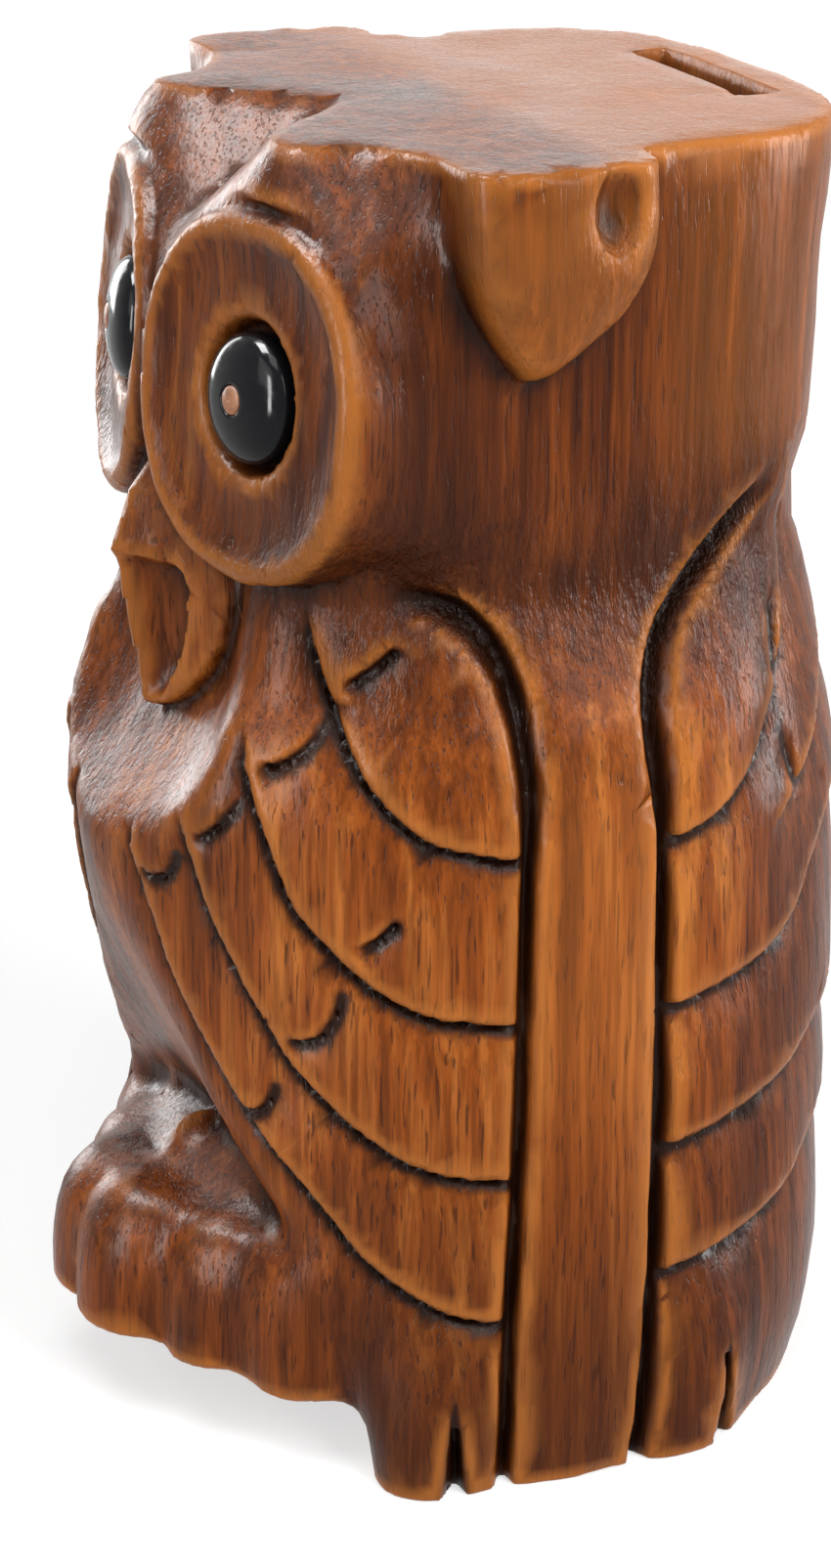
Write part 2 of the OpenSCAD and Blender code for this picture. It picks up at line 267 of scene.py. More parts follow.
def turned_solid(profile: Line, sides: int) -> tuple[np.ndarray, Faces]:
    """Turns a closed profile round the upright axis.

    Args:
        profile: (radius, height) corners, going round the solid part anticlockwise.
        sides: Number of steps around.

    Returns:
        The corner points and the faces.
    """
    turns = np.linspace(0, 2 * math.pi, sides, endpoint=False)
    points = [(r * math.cos(t), r * math.sin(t), h) for t in turns for r, h in profile]
    count, faces = len(profile), []
    for i in range(sides):
        for j in range(count):
            a, b = i * count + j, i * count + (j + 1) % count
            c, d = (b + count) % (sides * count), (a + count) % (sides * count)
            faces.append([d, c, b, a])
    return np.array(points), faces


def dress(made: bpy.types.Object, finish: bpy.types.Material, node: str, slot: Slot) -> None:
    """Finishes a piece and sets it in place of the plain one.

    Args:
        made: The piece.
        finish: Its material.
        node: Name of the plain piece.
        slot: Its material slot; not used.
    """
    made.data.materials.append(finish)
    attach(made, "owl")
    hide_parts(node)


# ---------------------------------------------------------------- the carving


@dataclass(frozen=True)
class BodyPlan:
    """The plain block under the feathers: its outline at every height.

    Angles are in degrees from sideways, negative toward the face. Flares are (angle, width, size).
    """

    height: float = 160.0
    breast: float = 46.6
    half_widths: Line = (
        (0, 45.6), (10, 46.4), (84, 46.2), (95, 44.3), (103, 40.2), (112, 36.0),
        (120, 37.6), (148, 37.6), (156, 37.3), (160, 36.4),
    )
    fronts: Line = (
        (0, 43.6), (30, 44.6), (56, 46.4), (68, 47.8), (80, 48.6), (86, 48.9), (92, 46.8), (101, 42.4),
        (112, 41.6), (120, 41.1), (138, 41.1), (148, 45.1), (158, 43.1), (160, 42.0),
    )
    backs: Line = (
        (0, 43.8), (8, 44.6), (20, 45.2), (44, 45.8), (76, 46.1), (92, 44.0), (103, 38.4), (112, 30.6),
        (122, 31.0), (148, 31.2), (158, 31.4), (160, 31.0),
    )
    middles: Line = ((0, 0.0), (94, 0.0), (103, 3.0), (112, 8.0), (120, 9.0), (160, 9.0))
    front_squareness: Line = (
        (0, 2.0), (98, 2.0), (109, 3.0), (118, 5.0), (124, 8.0), (134, 8.0), (143, 4.2), (154, 3.0),
        (160, 2.4),
    )
    back_squareness: Line = ((0, 2.0), (14, 2.25), (92, 2.25), (112, 2.3), (146, 2.6), (160, 3.0))
    scoop: Line = (
        (0, 28.7), (17, 24.5), (30, 18.5), (37, 13.6), (43, 10.2), (49, 7.4), (55, 4.8), (60, 2.6),
        (66, 0.3), (74, -4.0),
    )
    scoop_bend: float = 0.006
    scoop_slant: float = 0.82
    smoothing: float = 3.0
    skirt_top: float = 34.0
    flares: tuple[Triple, ...] = ((-28, 9, 3.5), (18, 9, 2.3))

    def smooth_table(self, points: Line, at: Field) -> Field:
        """Reads a table of (height, size) pairs with its corners softened.

        Args:
            points: The pairs.
            at: Heights to read.

        Returns:
            The softened sizes.
        """
        offsets = np.linspace(-self.smoothing, self.smoothing, 7)
        shares = 1 - (offsets / (self.smoothing * 1.2)) ** 2
        return sum(share * table(points, at + o) for share, o in zip(shares, offsets)) / shares.sum()

    def radius(self, angles: Field, heights: Field) -> Field:
        """Gives the plain block's radius.

        Args:
            angles: A row of angles, in degrees.
            heights: A row of heights.

        Returns:
            The radius, one row for each height.
        """
        a, z = angles[None, :], heights[:, None]
        front = a < 0
        reach = np.where(front, self.smooth_table(self.fronts, z), self.smooth_table(self.backs, z))
        power = np.where(front, table(self.front_squareness, z), table(self.back_squareness, z))
        half = self.smooth_table(self.half_widths, z)
        c, s = np.abs(np.cos(np.radians(a))), np.abs(np.sin(np.radians(a)))
        plain = ((c / half) ** power + (s / reach) ** power) ** (-1 / power)
        flare = sum(size * hump(a, angle, width) for angle, width, size in self.flares)
        return plain + (1 - smooth_step(z, 0.0, self.skirt_top)) * flare

    def scoop_distance(self, at: Places) -> Field:
        """Gives the distance to the wood behind the hollow under the breast."""
        face = self.smooth_table(self.scoop, at.z) - self.breast - self.scoop_bend * at.x * at.x
        return (face - at.y) * self.scoop_slant


@dataclass(frozen=True)
class Step:
    """The stepped edge where one feather lies over the next.

    Args:
        drop: Depth of the lower layer, next to the edge.
        reach: Distance over which the lower layer rises again.
        cut: Depth of the knife cut along the edge.
        cut_width: Width of the knife cut.
        lip: Width of the rounding on the upper layer.
        lip_drop: Depth of that rounding at the edge.
        stain_and_shade_centre: Distance from the edge to the middle of the dark staining and painted shade
            in the cut.
        painted_shadow: Strength of the painted shadow on the lower layer, under the edge.
        painted_shadow_reach: Distance over which it fades.
    """

    drop: float = 2.3
    reach: float = 5.5
    cut: float = 3.1
    cut_width: float = 1.9
    lip: float = 2.6
    lip_drop: float = 0.8
    stain_and_shade_centre: float = 0.6
    painted_shadow: float = 0.42
    painted_shadow_reach: float = 2.4

    def depth(self, below: Field) -> Field:
        """Gives how deep the surface lies under the plain block.

        Args:
            below: Distance under the edge line, negative on the upper layer.

        Returns:
            The depths.
        """
        under = np.maximum(self.drop * np.exp(-below / self.reach), self.cut * (1 - below / self.cut_width))
        over = self.lip_drop * np.clip(1 + below / self.lip, 0, 1) ** 2
        return np.where(below > 0, under, over)

    def stain_and_shade(self, below: Field) -> Field:
        """Gives how strong the dark staining and painted shade are: most of it in the cut under the edge,
        with a painted shadow on the lower layer.
        """
        # A painted shadow on the lower layer, fading away from the edge.
        thin = np.where(below > 0, self.painted_shadow * np.exp(-below / self.painted_shadow_reach), 0.0)
        return np.maximum(hump(below, self.stain_and_shade_centre, 1.0), thin)


@dataclass(frozen=True)
class Groove:
    """A groove beside the plain side column.

    Args:
        line: Its (angle, height) points.
        half: Half its width low down, in millimetres.
        low_stain_and_shade: Strength of its dark staining and painted shade low down.
    """

    line: Line
    half: float
    low_stain_and_shade: float


COLUMN_FRONT = Groove((
    (-16.0, -2), (-15.6, 12), (-15.0, 23), (-13.9, 43), (-13.5, 60), (-13.0, 80), (-12.6, 89.6), (-14.0, 95),
    (-17.6, 100), (-22.5, 104.1), (-28.1, 106.9), (-33.7, 109.1), (-39.5, 110.5), (-47.0, 112.0),
), 1.2, 0.55)
COLUMN_BACK = Groove((
    (6.0, -2), (8.0, 20), (9.0, 39), (9.0, 88), (7.2, 98), (7.6, 105), (13.0, 111), (21.0, 117), (28.0, 121),
), 1.5, 1.0)
ROWS: tuple[Line, ...] = (
    (
        (-14.9, 81.1), (-18.5, 81.6), (-25.3, 83.0), (-29.0, 84.3), (-31.8, 86.2), (-34.7, 88.6),
        (-37.2, 90.9), (-39.4, 93.4), (-42.2, 95.8), (-45.0, 98.4), (-47.7, 101.3), (-50.6, 104.6),
        (-53.4, 107.5), (-55.6, 110.3),
    ),
    (
        (-14.8, 60.5), (-19.7, 61.0), (-24.3, 61.4), (-28.0, 62.1), (-31.7, 63.4), (-35.4, 65.3),
        (-39.2, 67.7), (-43.0, 70.6), (-46.0, 73.0), (-47.9, 75.6), (-49.7, 79.3), (-51.6, 83.6),
        (-53.7, 87.5), (-55.6, 91.3), (-57.1, 96.6),
    ),
    (
        (-15.0, 40.6), (-22.5, 41.2), (-30.8, 43.0), (-36.1, 45.8), (-41.0, 48.6), (-45.4, 51.8),
        (-48.9, 54.7), (-51.4, 57.8), (-54.7, 62.2), (-57.3, 65.9), (-59.5, 69.1), (-61.9, 72.9),
        (-63.5, 77.4), (-65.0, 81.3), (-66.4, 86.0),
    ),
    (
        (-15.5, 22.0), (-22.0, 22.8), (-31.0, 26.2), (-40.0, 32.2), (-49.0, 40.3), (-53.3, 43.8),
        (-56.6, 46.5), (-60.6, 50.6), (-64.2, 54.6), (-67.1, 58.4), (-70.3, 62.8), (-72.2, 67.4),
        (-74.5, 70.9), (-76.1, 74.2), (-77.7, 77.5), (-78.9, 82.2),
    ),
)
TIPS: tuple[Line, ...] = (
    ((-37.6, 105.8), (-38.2, 104.5), (-39.7, 103.0), (-41.5, 101.5), (-42.7, 100.7), (-43.8, 99.6)),
    ((-45.9, 99.5), (-44.9, 96.3), (-45.7, 93.9), (-49.0, 91.6), (-52.2, 90.8), (-54.5, 90.8)),
    ((-55.4, 87.4), (-56.8, 85.5), (-59.0, 83.0), (-61.7, 81.2), (-64.1, 81.1)),
    ((-67.3, 79.3), (-68.2, 76.2), (-70.3, 74.1), (-73.5, 73.9), (-75.7, 74.8)),
    ((-31.6, 75.2), (-33.0, 73.1), (-35.4, 71.2), (-38.7, 70.2)),
    ((-40.7, 65.5), (-40.9, 62.6), (-42.2, 60.0), (-44.2, 58.1), (-47.3, 57.6), (-49.9, 58.2)),
    ((-51.8, 52.2), (-51.9, 50.1), (-53.6, 47.6), (-55.5, 46.9), (-58.0, 47.4)),
)
BACK_ROWS: tuple[Line, ...] = (
    ((36.5, 114), (39, 105), (36.6, 99), (33, 95), (27, 88), (19, 83), (11, 81), (8.5, 80.8)),
    ((90, 103), (75, 101), (58.6, 96), (48, 89), (40, 84), (36, 82)),
    (
        (90, 87), (70, 84.5), (54, 78.7), (42, 72), (39, 68), (35, 65.4), (30, 63.4), (24, 61.8),
        (19, 61), (11, 60), (8.5, 59.9),
    ),
    ((90, 58), (75, 57), (56, 52), (46, 49), (32, 45.6), (20, 43), (11, 42), (8.5, 41.9)),
    ((90, 39), (60, 37), (43, 33), (36, 29.8), (25, 27), (9, 25.6), (8, 25.5)),
)
LEAF_VEIN: Line = ((32.5, 107), (33.4, 98), (34.5, 88), (37.7, 78.5))
NOTCHES: tuple[Triple, ...] = ((-23.4, 13.0, 1.7), (21.0, 14.0, 1.7))
ROW_STEP = Step(cut=3.5, cut_width=2.2)
TIP_STEP = Step(drop=1.5, reach=2.8, cut=2.5, cut_width=1.6, lip=1.6, lip_drop=0.5)
BACK_STEP = Step(drop=2.5, reach=6.0, cut=2.9, cut_width=1.8, lip=3.0, lip_drop=1.2)


@dataclass
class Relief:
    """The carved feathers, as a depth and a darkening, of dark staining and painted shade, at every angle
    and height of the body.

    Args:
        plan: The plain block under them.
        heights: The heights to work out.
        angle_step: Distance between the angles, in degrees.
        groove_depth: Depth of the grooves beside the column.
        shoulder: Depth of the soft rounding beside each groove.
        vein_depth: Depth of the leaf's vein.
        notch_depth: Depth of the notches in the foot of the wings.
    """

    plan: BodyPlan
    heights: Field
    angle_step: float = 0.25
    groove_depth: float = 3.0
    shoulder: float = 0.9
    vein_depth: float = 1.5
    notch_depth: float = 4.2

    def __post_init__(self) -> None:
        """Lays out the angles, the radius of the plain block and an empty map of dark staining and painted
        shade.
        """
        self.angles = np.arange(-90, 90 + self.angle_step, self.angle_step)
        self.plain = self.plan.radius(self.angles, self.heights)
        self.local = self.plan.smooth_table(self.plan.half_widths, self.heights)[:, None]
        self.across = np.radians(self.angles)[None, :] * self.local
        self.cut_stain_and_shade = np.zeros_like(self.plain)

    def placed(self, line: Line) -> Field:
        """Turns (angle, height) points into distances along the surface.

        Args:
            line: The points.

        Returns:
            Rows of (distance around, height), with the corners softened.
        """
        points = np.array(line, float)
        points[:, 0] = np.radians(points[:, 0]) * self.plan.smooth_table(self.plan.half_widths, points[:, 1])
        for _ in range(2):
            near, far = points[:-1] * 0.75 + points[1:] * 0.25, points[:-1] * 0.25 + points[1:] * 0.75
            middle = np.stack([near, far], axis=1).reshape(-1, 2)
            points = np.concatenate([points[:1], middle, points[-1:]])
        return points

    def side_of(self, line: Line) -> tuple[Field, Field, float]:
        """Measures every place of the map against a line.

        Args:
            line: Points of (angle, height).

        Returns:
            The signed distance, positive on the line's right, how far along the nearest point
            lies, and the line's length.
        """
        points = self.placed(line)
        best = np.full(self.plain.shape, 1e6)
        signed, along = np.zeros_like(best), np.zeros_like(best)
        walked = 0.0
        up = np.broadcast_to(self.heights[:, None], best.shape)
        for start, end in zip(points[:-1], points[1:]):
            length = float(np.hypot(*(end - start)))
            if length < 1e-6:  # a repeated point has no direction
                continue
            way = (end - start) / length
            du, dz = self.across - start[0], up - start[1]
            t = np.clip(du * way[0] + dz * way[1], 0, length)
            gap = np.hypot(du - t * way[0], dz - t * way[1])
            side = du * way[1] - dz * way[0]
            near = gap < best
            best = np.where(near, gap, best)
            signed = np.where(near, np.where(side >= 0, gap, -gap), signed)
            along = np.where(near, walked + t, along)
            walked += length
        return signed, along, walked

    def darken(self, stain_and_shade: Field) -> None:
        """Adds dark staining and painted shade to the map."""
        self.cut_stain_and_shade = np.maximum(self.cut_stain_and_shade, stain_and_shade)

    def edge_cut(self, line: Line, step: Step, fade: tuple[float, float], zone: Field) -> Field:
        """Works out the depth of one stepped edge, and adds its dark staining and painted shadow to the map.

        Args:
            line: Points of (angle, height), with the lower layer on their right.
            step: Shape of the edge.
            fade: How far the edge fades at its two ends, in millimetres, 0 for not at all.
            zone: 1 where the edge may show, 0 elsewhere.

        Returns:
            Its depth over the whole map.
        """
        signed, along, length = self.side_of(line)
        first, last = fade
        if first:
            zone = zone * smooth_step(along, 0.0, first)
        if last:
            zone = zone * (1 - smooth_step(along, length - last, length))
        self.darken(step.stain_and_shade(signed) * zone)
        return step.depth(signed) * zone

    def column_cut(self, groove: Groove) -> Field:
        """Works out one groove beside the plain side column, and adds its dark staining and painted shade.

        Args:
            groove: The groove.

        Returns:
            Its depth over the whole map.
        """
        height = self.heights[:, None]
        signed, along, length = self.side_of(groove.line)
        gap = np.abs(signed)
        half = groove.half + 0.7 * smooth_step(height, 78.0, 92.0)
        cut = self.groove_depth * np.clip(1 - gap / half, 0, 1) ** 0.8
        soft = self.shoulder * np.exp(-gap / 3.2)
        end = 1 - smooth_step(along, length - 10.0, length)
        # Darker high up, where the groove lies in painted shade.
        cut_stain_and_shade = groove.low_stain_and_shade + (1 - groove.low_stain_and_shade) * smooth_step(height, 70.0, 88.0)
        self.darken(hump(gap, 0.0, 0.75 * half) * cut_stain_and_shade * end)
        return (cut + soft) * end

    def vein_cut(self, zone: Field) -> Field:
        """Works out the leaf's vein, high on the back, and adds its dark staining and painted shade.

        Args:
            zone: 1 where the vein may show, 0 elsewhere.

        Returns:
            Its depth over the whole map.
        """
        vein, along, length = self.side_of(LEAF_VEIN)
        fade = smooth_step(along, 0, 5) * (1 - smooth_step(along, length - 6, length)) * zone
        self.darken(0.9 * hump(vein, 0.0, 0.8) * fade)
        return self.vein_depth * hump(vein, 0.0, 1.1) * fade

    def notch_cut(self, notch: Triple) -> Field:
        """Works out one narrow notch in the foot of a wing, and adds its dark staining and painted shade.

        Args:
            notch: Its angle, its height and half its width at the ground.

        Returns:
            Its depth over the whole map.
        """
        angle, top, half = notch
        a, z = np.broadcast_to(self.angles[None, :], self.plain.shape), self.heights[:, None]
        offset = np.abs(np.radians(a - angle) * self.local)
        width = half * np.clip(1 - z / top, 0, 1)
        self.darken(0.85 * hump(offset, 0.0, width + 0.35) * (z < top))
        return self.notch_depth * np.clip(1 - offset / (width + 0.02), 0, 1) * (z < top)

    def surface(self) -> Field:
        """Carves everything into the plain block.

        Returns:
            The carved radius over the whole map.
        """
        front_of, _, _ = self.side_of(COLUMN_FRONT.line)
        behind, _, _ = self.side_of(COLUMN_BACK.line)
        front_zone = smooth_step(-front_of, -0.4, 0.4) * (self.angles[None, :] < 0)
        back_zone = smooth_step(behind, -0.4, 0.4) * (self.angles[None, :] > 0)
        jobs = [(line, ROW_STEP, (9.0, 0.0), front_zone) for line in ROWS]
        jobs += [(line, TIP_STEP, (2.5, 1.8), front_zone) for line in TIPS]
        jobs += [(line, BACK_STEP, (0.0, 0.0), back_zone) for line in BACK_ROWS]
        # The tables run with the lower layer on their left, so they are turned round here.
        layers = [self.edge_cut(line[::-1], *rest) for line, *rest in jobs]
        layers.append(self.vein_cut(back_zone))
        layers += [self.column_cut(groove) for groove in (COLUMN_FRONT, COLUMN_BACK)]
        layers += [self.notch_cut(notch) for notch in NOTCHES]
        return self.plain - np.maximum.reduce([np.zeros_like(self.plain), *layers])

    def stain_and_shade_at(self, at: Places) -> Field:
        """Reads the dark staining and painted shade of the cuts at points of the body.

        Args:
            at: The points.

        Returns:
            How strong the dark staining and painted shade are, from 0 to 1.
        """
        back = at.y - self.plan.smooth_table(self.plan.middles, at.z)
        angle = np.degrees(np.arctan2(back, np.abs(at.x)))
        row = (at.z - self.heights[0]) / (self.heights[1] - self.heights[0])
        place = np.stack([np.zeros_like(row), row, (angle + 90) / self.angle_step], axis=1)
        cut_stain_and_shade, reach = (read_field(np.stack([values, values]), place) for values in (self.cut_stain_and_shade, self.plain))
        return cut_stain_and_shade * (1 - smooth_step(np.abs(np.hypot(at.x, back) - reach), 5.0, 8.0))


@dataclass(frozen=True)
class FaceDisc:
    """One of the round discs of the face, with its eye socket.

    Angles are in degrees. The profile gives (distance from the middle, distance out of the rim).
    """

    x: float = 20.6
    front: float = 35.7
    z: float = 131.8
    turn: float = 13.6
    lean: float = 5.3
    radius: float = 20.9
    depth: float = 14.0
    squareness: float = 2.2
    socket_depth: float = 4.4
    socket_radius: float = 8.2
    socket_flare: float = 0.32
    groove: float = 1.0
    groove_depth: float = 2.0
    profile: Line = (
        (0.0, -1.5), (9.5, -1.5), (10.0, -1.1), (11.2, -1.4), (13.2, -1.5), (15.5, -1.5), (17.4, -0.9),
        (18.4, -0.15), (19.4, 0.0), (20.3, -0.5), (21.2, -1.5),
    )

    def local(self, at: Places) -> tuple[Field, Field, Field]:
        """Turns places on the owl into places on the disc.

        Args:
            at: The places.

        Returns:
            Places across, up and out of the disc.
        """
        t, lift = math.radians(self.turn), math.radians(90 - self.lean)
        dx, dy, dz = at.x - self.x, at.y + self.front, at.z - self.z
        across = dx * math.cos(t) + dy * math.sin(t)
        back = -dx * math.sin(t) + dy * math.cos(t)
        up = back * math.cos(lift) + dz * math.sin(lift)
        return across, up, -back * math.sin(lift) + dz * math.cos(lift)

    def axis(self) -> Vector:
        """Gives the direction that the left disc faces."""
        t, lean = math.radians(self.turn), math.radians(self.lean)
        return Vector((math.cos(lean) * math.sin(t), -math.cos(lean) * math.cos(t), math.sin(lean)))

    def seat(self, middle: float, side: Side) -> Matrix:
        """Gives the place and turn of a socket's floor, in metres.

        Args:
            middle: Place of the body's middle line.
            side: The left or the right socket.

        Returns:
            The matrix that sets a turned piece into the socket.
        """
        turn = self.axis()
        base = Vector((self.x, middle - self.front, self.z)) * MM + turn * (-self.socket_depth * MM)
        way = Vector((turn.x * side.value, turn.y, turn.z))
        move = Matrix.Translation((base.x * side.value, base.y, base.z))
        return move @ way.to_track_quat("Z", "Y").to_matrix().to_4x4()

    def far(self, across: Field, up: Field) -> Field:
        """Gives the distance from the disc's middle, for an outline that is slightly square."""
        p = self.squareness
        return (np.abs(across) ** p + np.abs(up) ** p) ** (1 / p)

    def solid(self, across: Field, up: Field, out: Field) -> Field:
        """Gives the distance to the disc, without the socket.

        Args:
            across: Places across the disc.
            up: Places up the disc.
            out: Places out of its rim.

        Returns:
            Signed distances.
        """
        r = self.far(across, up)
        front = smooth_max(r - self.radius, out - table(self.profile, r), 0.8)
        return smooth_max(front, -self.depth - out, 0.5)

    def clearing(self, across: Field, up: Field, out: Field) -> Field:
        """Gives the distance to the space that the carver cleared round the disc."""
        gap = self.far(across, up) - self.radius - self.groove * smooth_step(up, -2.0, 8.0)
        return np.maximum(gap, -self.groove_depth - out)

    def socket(self, across: Field, up: Field, out: Field) -> Field:
        """Gives the distance to the eye socket, which widens toward its mouth."""
        wall = self.socket_radius + self.socket_flare * (out + self.socket_depth)
        return np.maximum(np.hypot(across, up) - wall, -self.socket_depth - out)


@dataclass(frozen=True)
class Feet:
    """The two feet, each with three toes that stand clear of the ground.

    The toes fan out round the heel, and turns are in degrees from straight ahead.
    """

    reach: float = 49.2
    turns: Triple = (7.8, 28.0, 49.5)
    insets: Triple = (0.0, 4.2, 3.5)
    clefts: Triple = (2.2, 2.2, 0.9)
    lifts: Line = ((0.0, 11.8), (19.0, 11.8), (24.0, 10.4), (36.0, 10.4), (42.0, 9.6), (66.0, 9.0))
    toe_radius: float = 8.6
    toe_low: float = 9.0
    toe_curl: float = 1.3
    top: float = 29.5
    crown: float = 1.4
    nail_fall: float = 1.6
    saddle: Triple = (31.0, 5.0, 1.6)
    heel_back: float = -9.0
    heel_radius: float = 28.0
    heel_low: float = 6.0
    leg_rise: float = 3.0
    post_radius: float = 20.0
    post_top: float = 12.0

    def solid(self, at: Places, middle: float) -> Field:
        """Gives the distance to both feet and the heel under them.

        Args:
            at: The places.
            middle: Place of the body's middle line.

        Returns:
            Signed distances.
        """
        x, heel, z = at.x, at.y - self.heel_back, at.z
        around = np.hypot(x, heel)
        turn = np.degrees(np.arctan2(x, -heel))
        longest = (self.reach + middle + self.heel_back) / math.cos(math.radians(self.turns[0]))
        reach = None
        for toe, inset, cleft in zip(self.turns, self.insets, self.clefts):
            away = np.radians(turn - toe)
            centre = longest - inset - self.toe_radius
            off = centre * np.sin(away)
            inside = np.clip(self.toe_radius**2 - off * off, 0.0, None)
            beyond = np.clip(np.abs(off) - self.toe_radius, 0, 20)
            lobe = centre * np.cos(away) + np.sqrt(inside) - cleft * beyond
            reach = lobe if reach is None else smooth_max(reach, lobe, 5.0)
        up = np.clip((self.top - z) / (self.top - self.toe_low), 0.0, 1.0)
        front = (around - np.maximum(reach - self.toe_curl * (1 - up) ** 2, 0.0)) * 0.92
        dip, width, size = self.saddle
        nails = self.nail_fall * smooth_step(around, 34.0, 46.0)
        rise = self.top + self.crown - nails - size * hump(around, dip, width)
        toes = smooth_max(front, z - rise, 9.0)
        toes = smooth_max(toes, table(self.lifts, turn) - z, 1.6)
        leg = smooth_max(around - self.heel_radius, z - (self.top + self.leg_rise), 6.0)
        base = smooth_max(leg, self.heel_low - z, 3.0)
        post = smooth_max(around - self.post_radius, z - self.post_top, 2.0)
        return smooth_min(smooth_min(toes, base, 5.0), post, 2.0)


@dataclass(frozen=True)
class Head:
    """The brows, cheeks, ears and beak that are carved into the top of the block.

    The slants scale a sloping surface's height or depth down to its true distance.
    """

    valley_start: float = 14.0
    valley_fall: float = 0.62
    valley_slant: float = 0.76
    brow_slope: float = 183.5
    brow_widening: float = 30.0
    brow_slant: float = 0.70
    cheek_wall: Line = ((-34.0, 39.2), (-30.0, 38.8), (-12.0, 37.4), (2.0, 37.0))
    cheek_inset: float = 0.5
    cheek_sink: float = 2.4
    cheek_low: float = 117.5
    cheek_back: float = 8.0
    ear_reach: float = 46.1
    ear_root: float = 26.0
    ear_front: float = -17.6
    ear_back: float = 5.8
    ear_tip: tuple[float, float] = (-9.9, 135.6)
    ear_front_drop: float = 12.5
    ear_back_drop: float = 14.5
    ear_lean: float = 0.30
    ear_curve: float = 0.014
    tear_place: Triple = (46.2, -0.4, 5.0)
    tear_size: Triple = (3.4, 3.4, 5.2)
    beak_ridge: Line = (
        (88, -37.0), (90.5, -41.0), (94, -42.6), (101.4, -43.2), (109.5, -43.8), (116.6, -41.7), (123, -37),
    )
    beak_half: Line = (
        (89.5, 0.0), (91, 4.2), (93, 7.0), (96, 9.8), (100, 12.4), (106, 13.8), (114, 12.5), (124, 5),
    )
    beak_hollow: Line = (
        (0.0, 0.0), (0.06, 0.5), (0.16, 0.85), (0.36, 1.0), (0.52, 0.8), (0.62, 0.1), (1.0, 0.0),
    )
    beak_hollow_depth: float = 4.4
    beak_hollow_foot: tuple[float, float] = (89.5, 95.0)
    beak_hollow_top: tuple[float, float] = (107.0, 110.0)
    beak_fall: float = 0.60
    beak_back: float = -24.0
    beak_top: float = 126.0
    bib: Line = (
        (74, -51), (78, -46.6), (82, -43), (86, -39.6), (90, -37), (96, -34.5), (104, -33), (112, -32.6),
        (118, -32.5),
    )
    bib_flat: float = 11.0
    bib_bend: float = 0.03
    bib_slant: float = 0.82

    def brow_tops(self, at: Places, top: float) -> Field:
        """Gives the distance to the surfaces that fall from the flat top: into the valley between
        the brows, and outside each brow.

        Args:
            at: The places.
            top: Height of the flat top.

        Returns:
            Signed distances to the wood below both.
        """
        run = np.maximum(-self.valley_start - at.y - at.x, -18.0)
        valley = (at.z - top + self.valley_fall * run) * self.valley_slant
        slope = self.brow_slope + self.brow_widening * smooth_step(at.y, -25.0, -6.0)
        return smooth_max(valley, (at.x + at.z - slope) * self.brow_slant, 3.0)

    def cheek(self, at: Places, up: Field, out: Field) -> Field:
        """Gives the distance to the wood beside and above a face disc.

        Args:
            at: The places.
            up: Places above the disc's middle.
            out: Places out of the disc's rim.

        Returns:
            Signed distances.
        """
        front = out + self.cheek_inset + self.cheek_sink * smooth_step(-up, -9.0, 3.0)
        solid = smooth_max(front, at.x - table(self.cheek_wall, at.y), 0.8)
        solid = smooth_max(solid, self.cheek_low - at.z - 0.25 * (at.y + 30), 7.0)
        return np.maximum(solid, at.y - self.cheek_back)

    def ear(self, at: Places, top: float) -> Field:
        """Gives the distance to the left ear tuft: a rounded shield that narrows to a point, with
        a chip torn out near the top.

        Args:
            at: The places.
            top: Height of the flat top.

        Returns:
            Signed distances.
        """
        x, y, z = at
        low_y, low_z = self.ear_tip
        front, back = -(y - self.ear_front), y - self.ear_back
        fore = front * 0.846 - (z - (top - self.ear_front_drop)) * 0.533
        rear = back * 0.60 - (z - (top - self.ear_back_drop)) * 0.80
        shape = smooth_max(smooth_max(front, fore, 3.0), smooth_max(back, rear, 7.0), 3.0)
        lean = self.ear_lean * np.clip(top - 13.0 - z, 0, None)
        face = self.ear_reach - lean - self.ear_curve * (y - low_y - 3.0) ** 2
        solid = smooth_max(shape, (x - face) * 0.92, 3.6)
        solid = np.maximum(solid, low_z - 3.0 - z)
        (px, py, down), (a, b, c) = self.tear_place, self.tear_size
        tear = np.sqrt(((x - px) / a) ** 2 + ((y - py) / b) ** 2 + ((z - top + down) / c) ** 2) - 1
        return smooth_max(np.maximum(solid, self.ear_root - x), -tear * 3.0, 0.6)

    def beak(self, at: Places) -> Field:
        """Gives the distance to the beak: a ridge with a hollowed face on each side.

        Args:
            at: The places.

        Returns:
            Signed distances.
        """
        half = table(self.beak_half, at.z)
        hollow = table(self.beak_hollow, np.clip(at.x / np.maximum(half, 0.3), 0, 1.4))
        depth = self.beak_hollow_depth * hollow * (1 - smooth_step(at.z, *self.beak_hollow_top))
        depth = depth * smooth_step(at.z, *self.beak_hollow_foot)
        face = (table(self.beak_ridge, at.z) + (self.beak_fall * at.x + depth) - at.y) * 0.8
        solid = smooth_max(face, (at.x - half) * 0.85, 0.6)
        return smooth_max(smooth_max(solid, at.y - self.beak_back, 1.0), at.z - self.beak_top, 2.0)

    def bib_cut(self, at: Places) -> Field:
        """Gives the distance to the wood behind the smooth hollow round the beak."""
        bend = self.bib_bend * np.maximum(at.x - self.bib_flat, 0) ** 2
        return (table(self.bib, at.z) - bend - at.y) * self.bib_slant


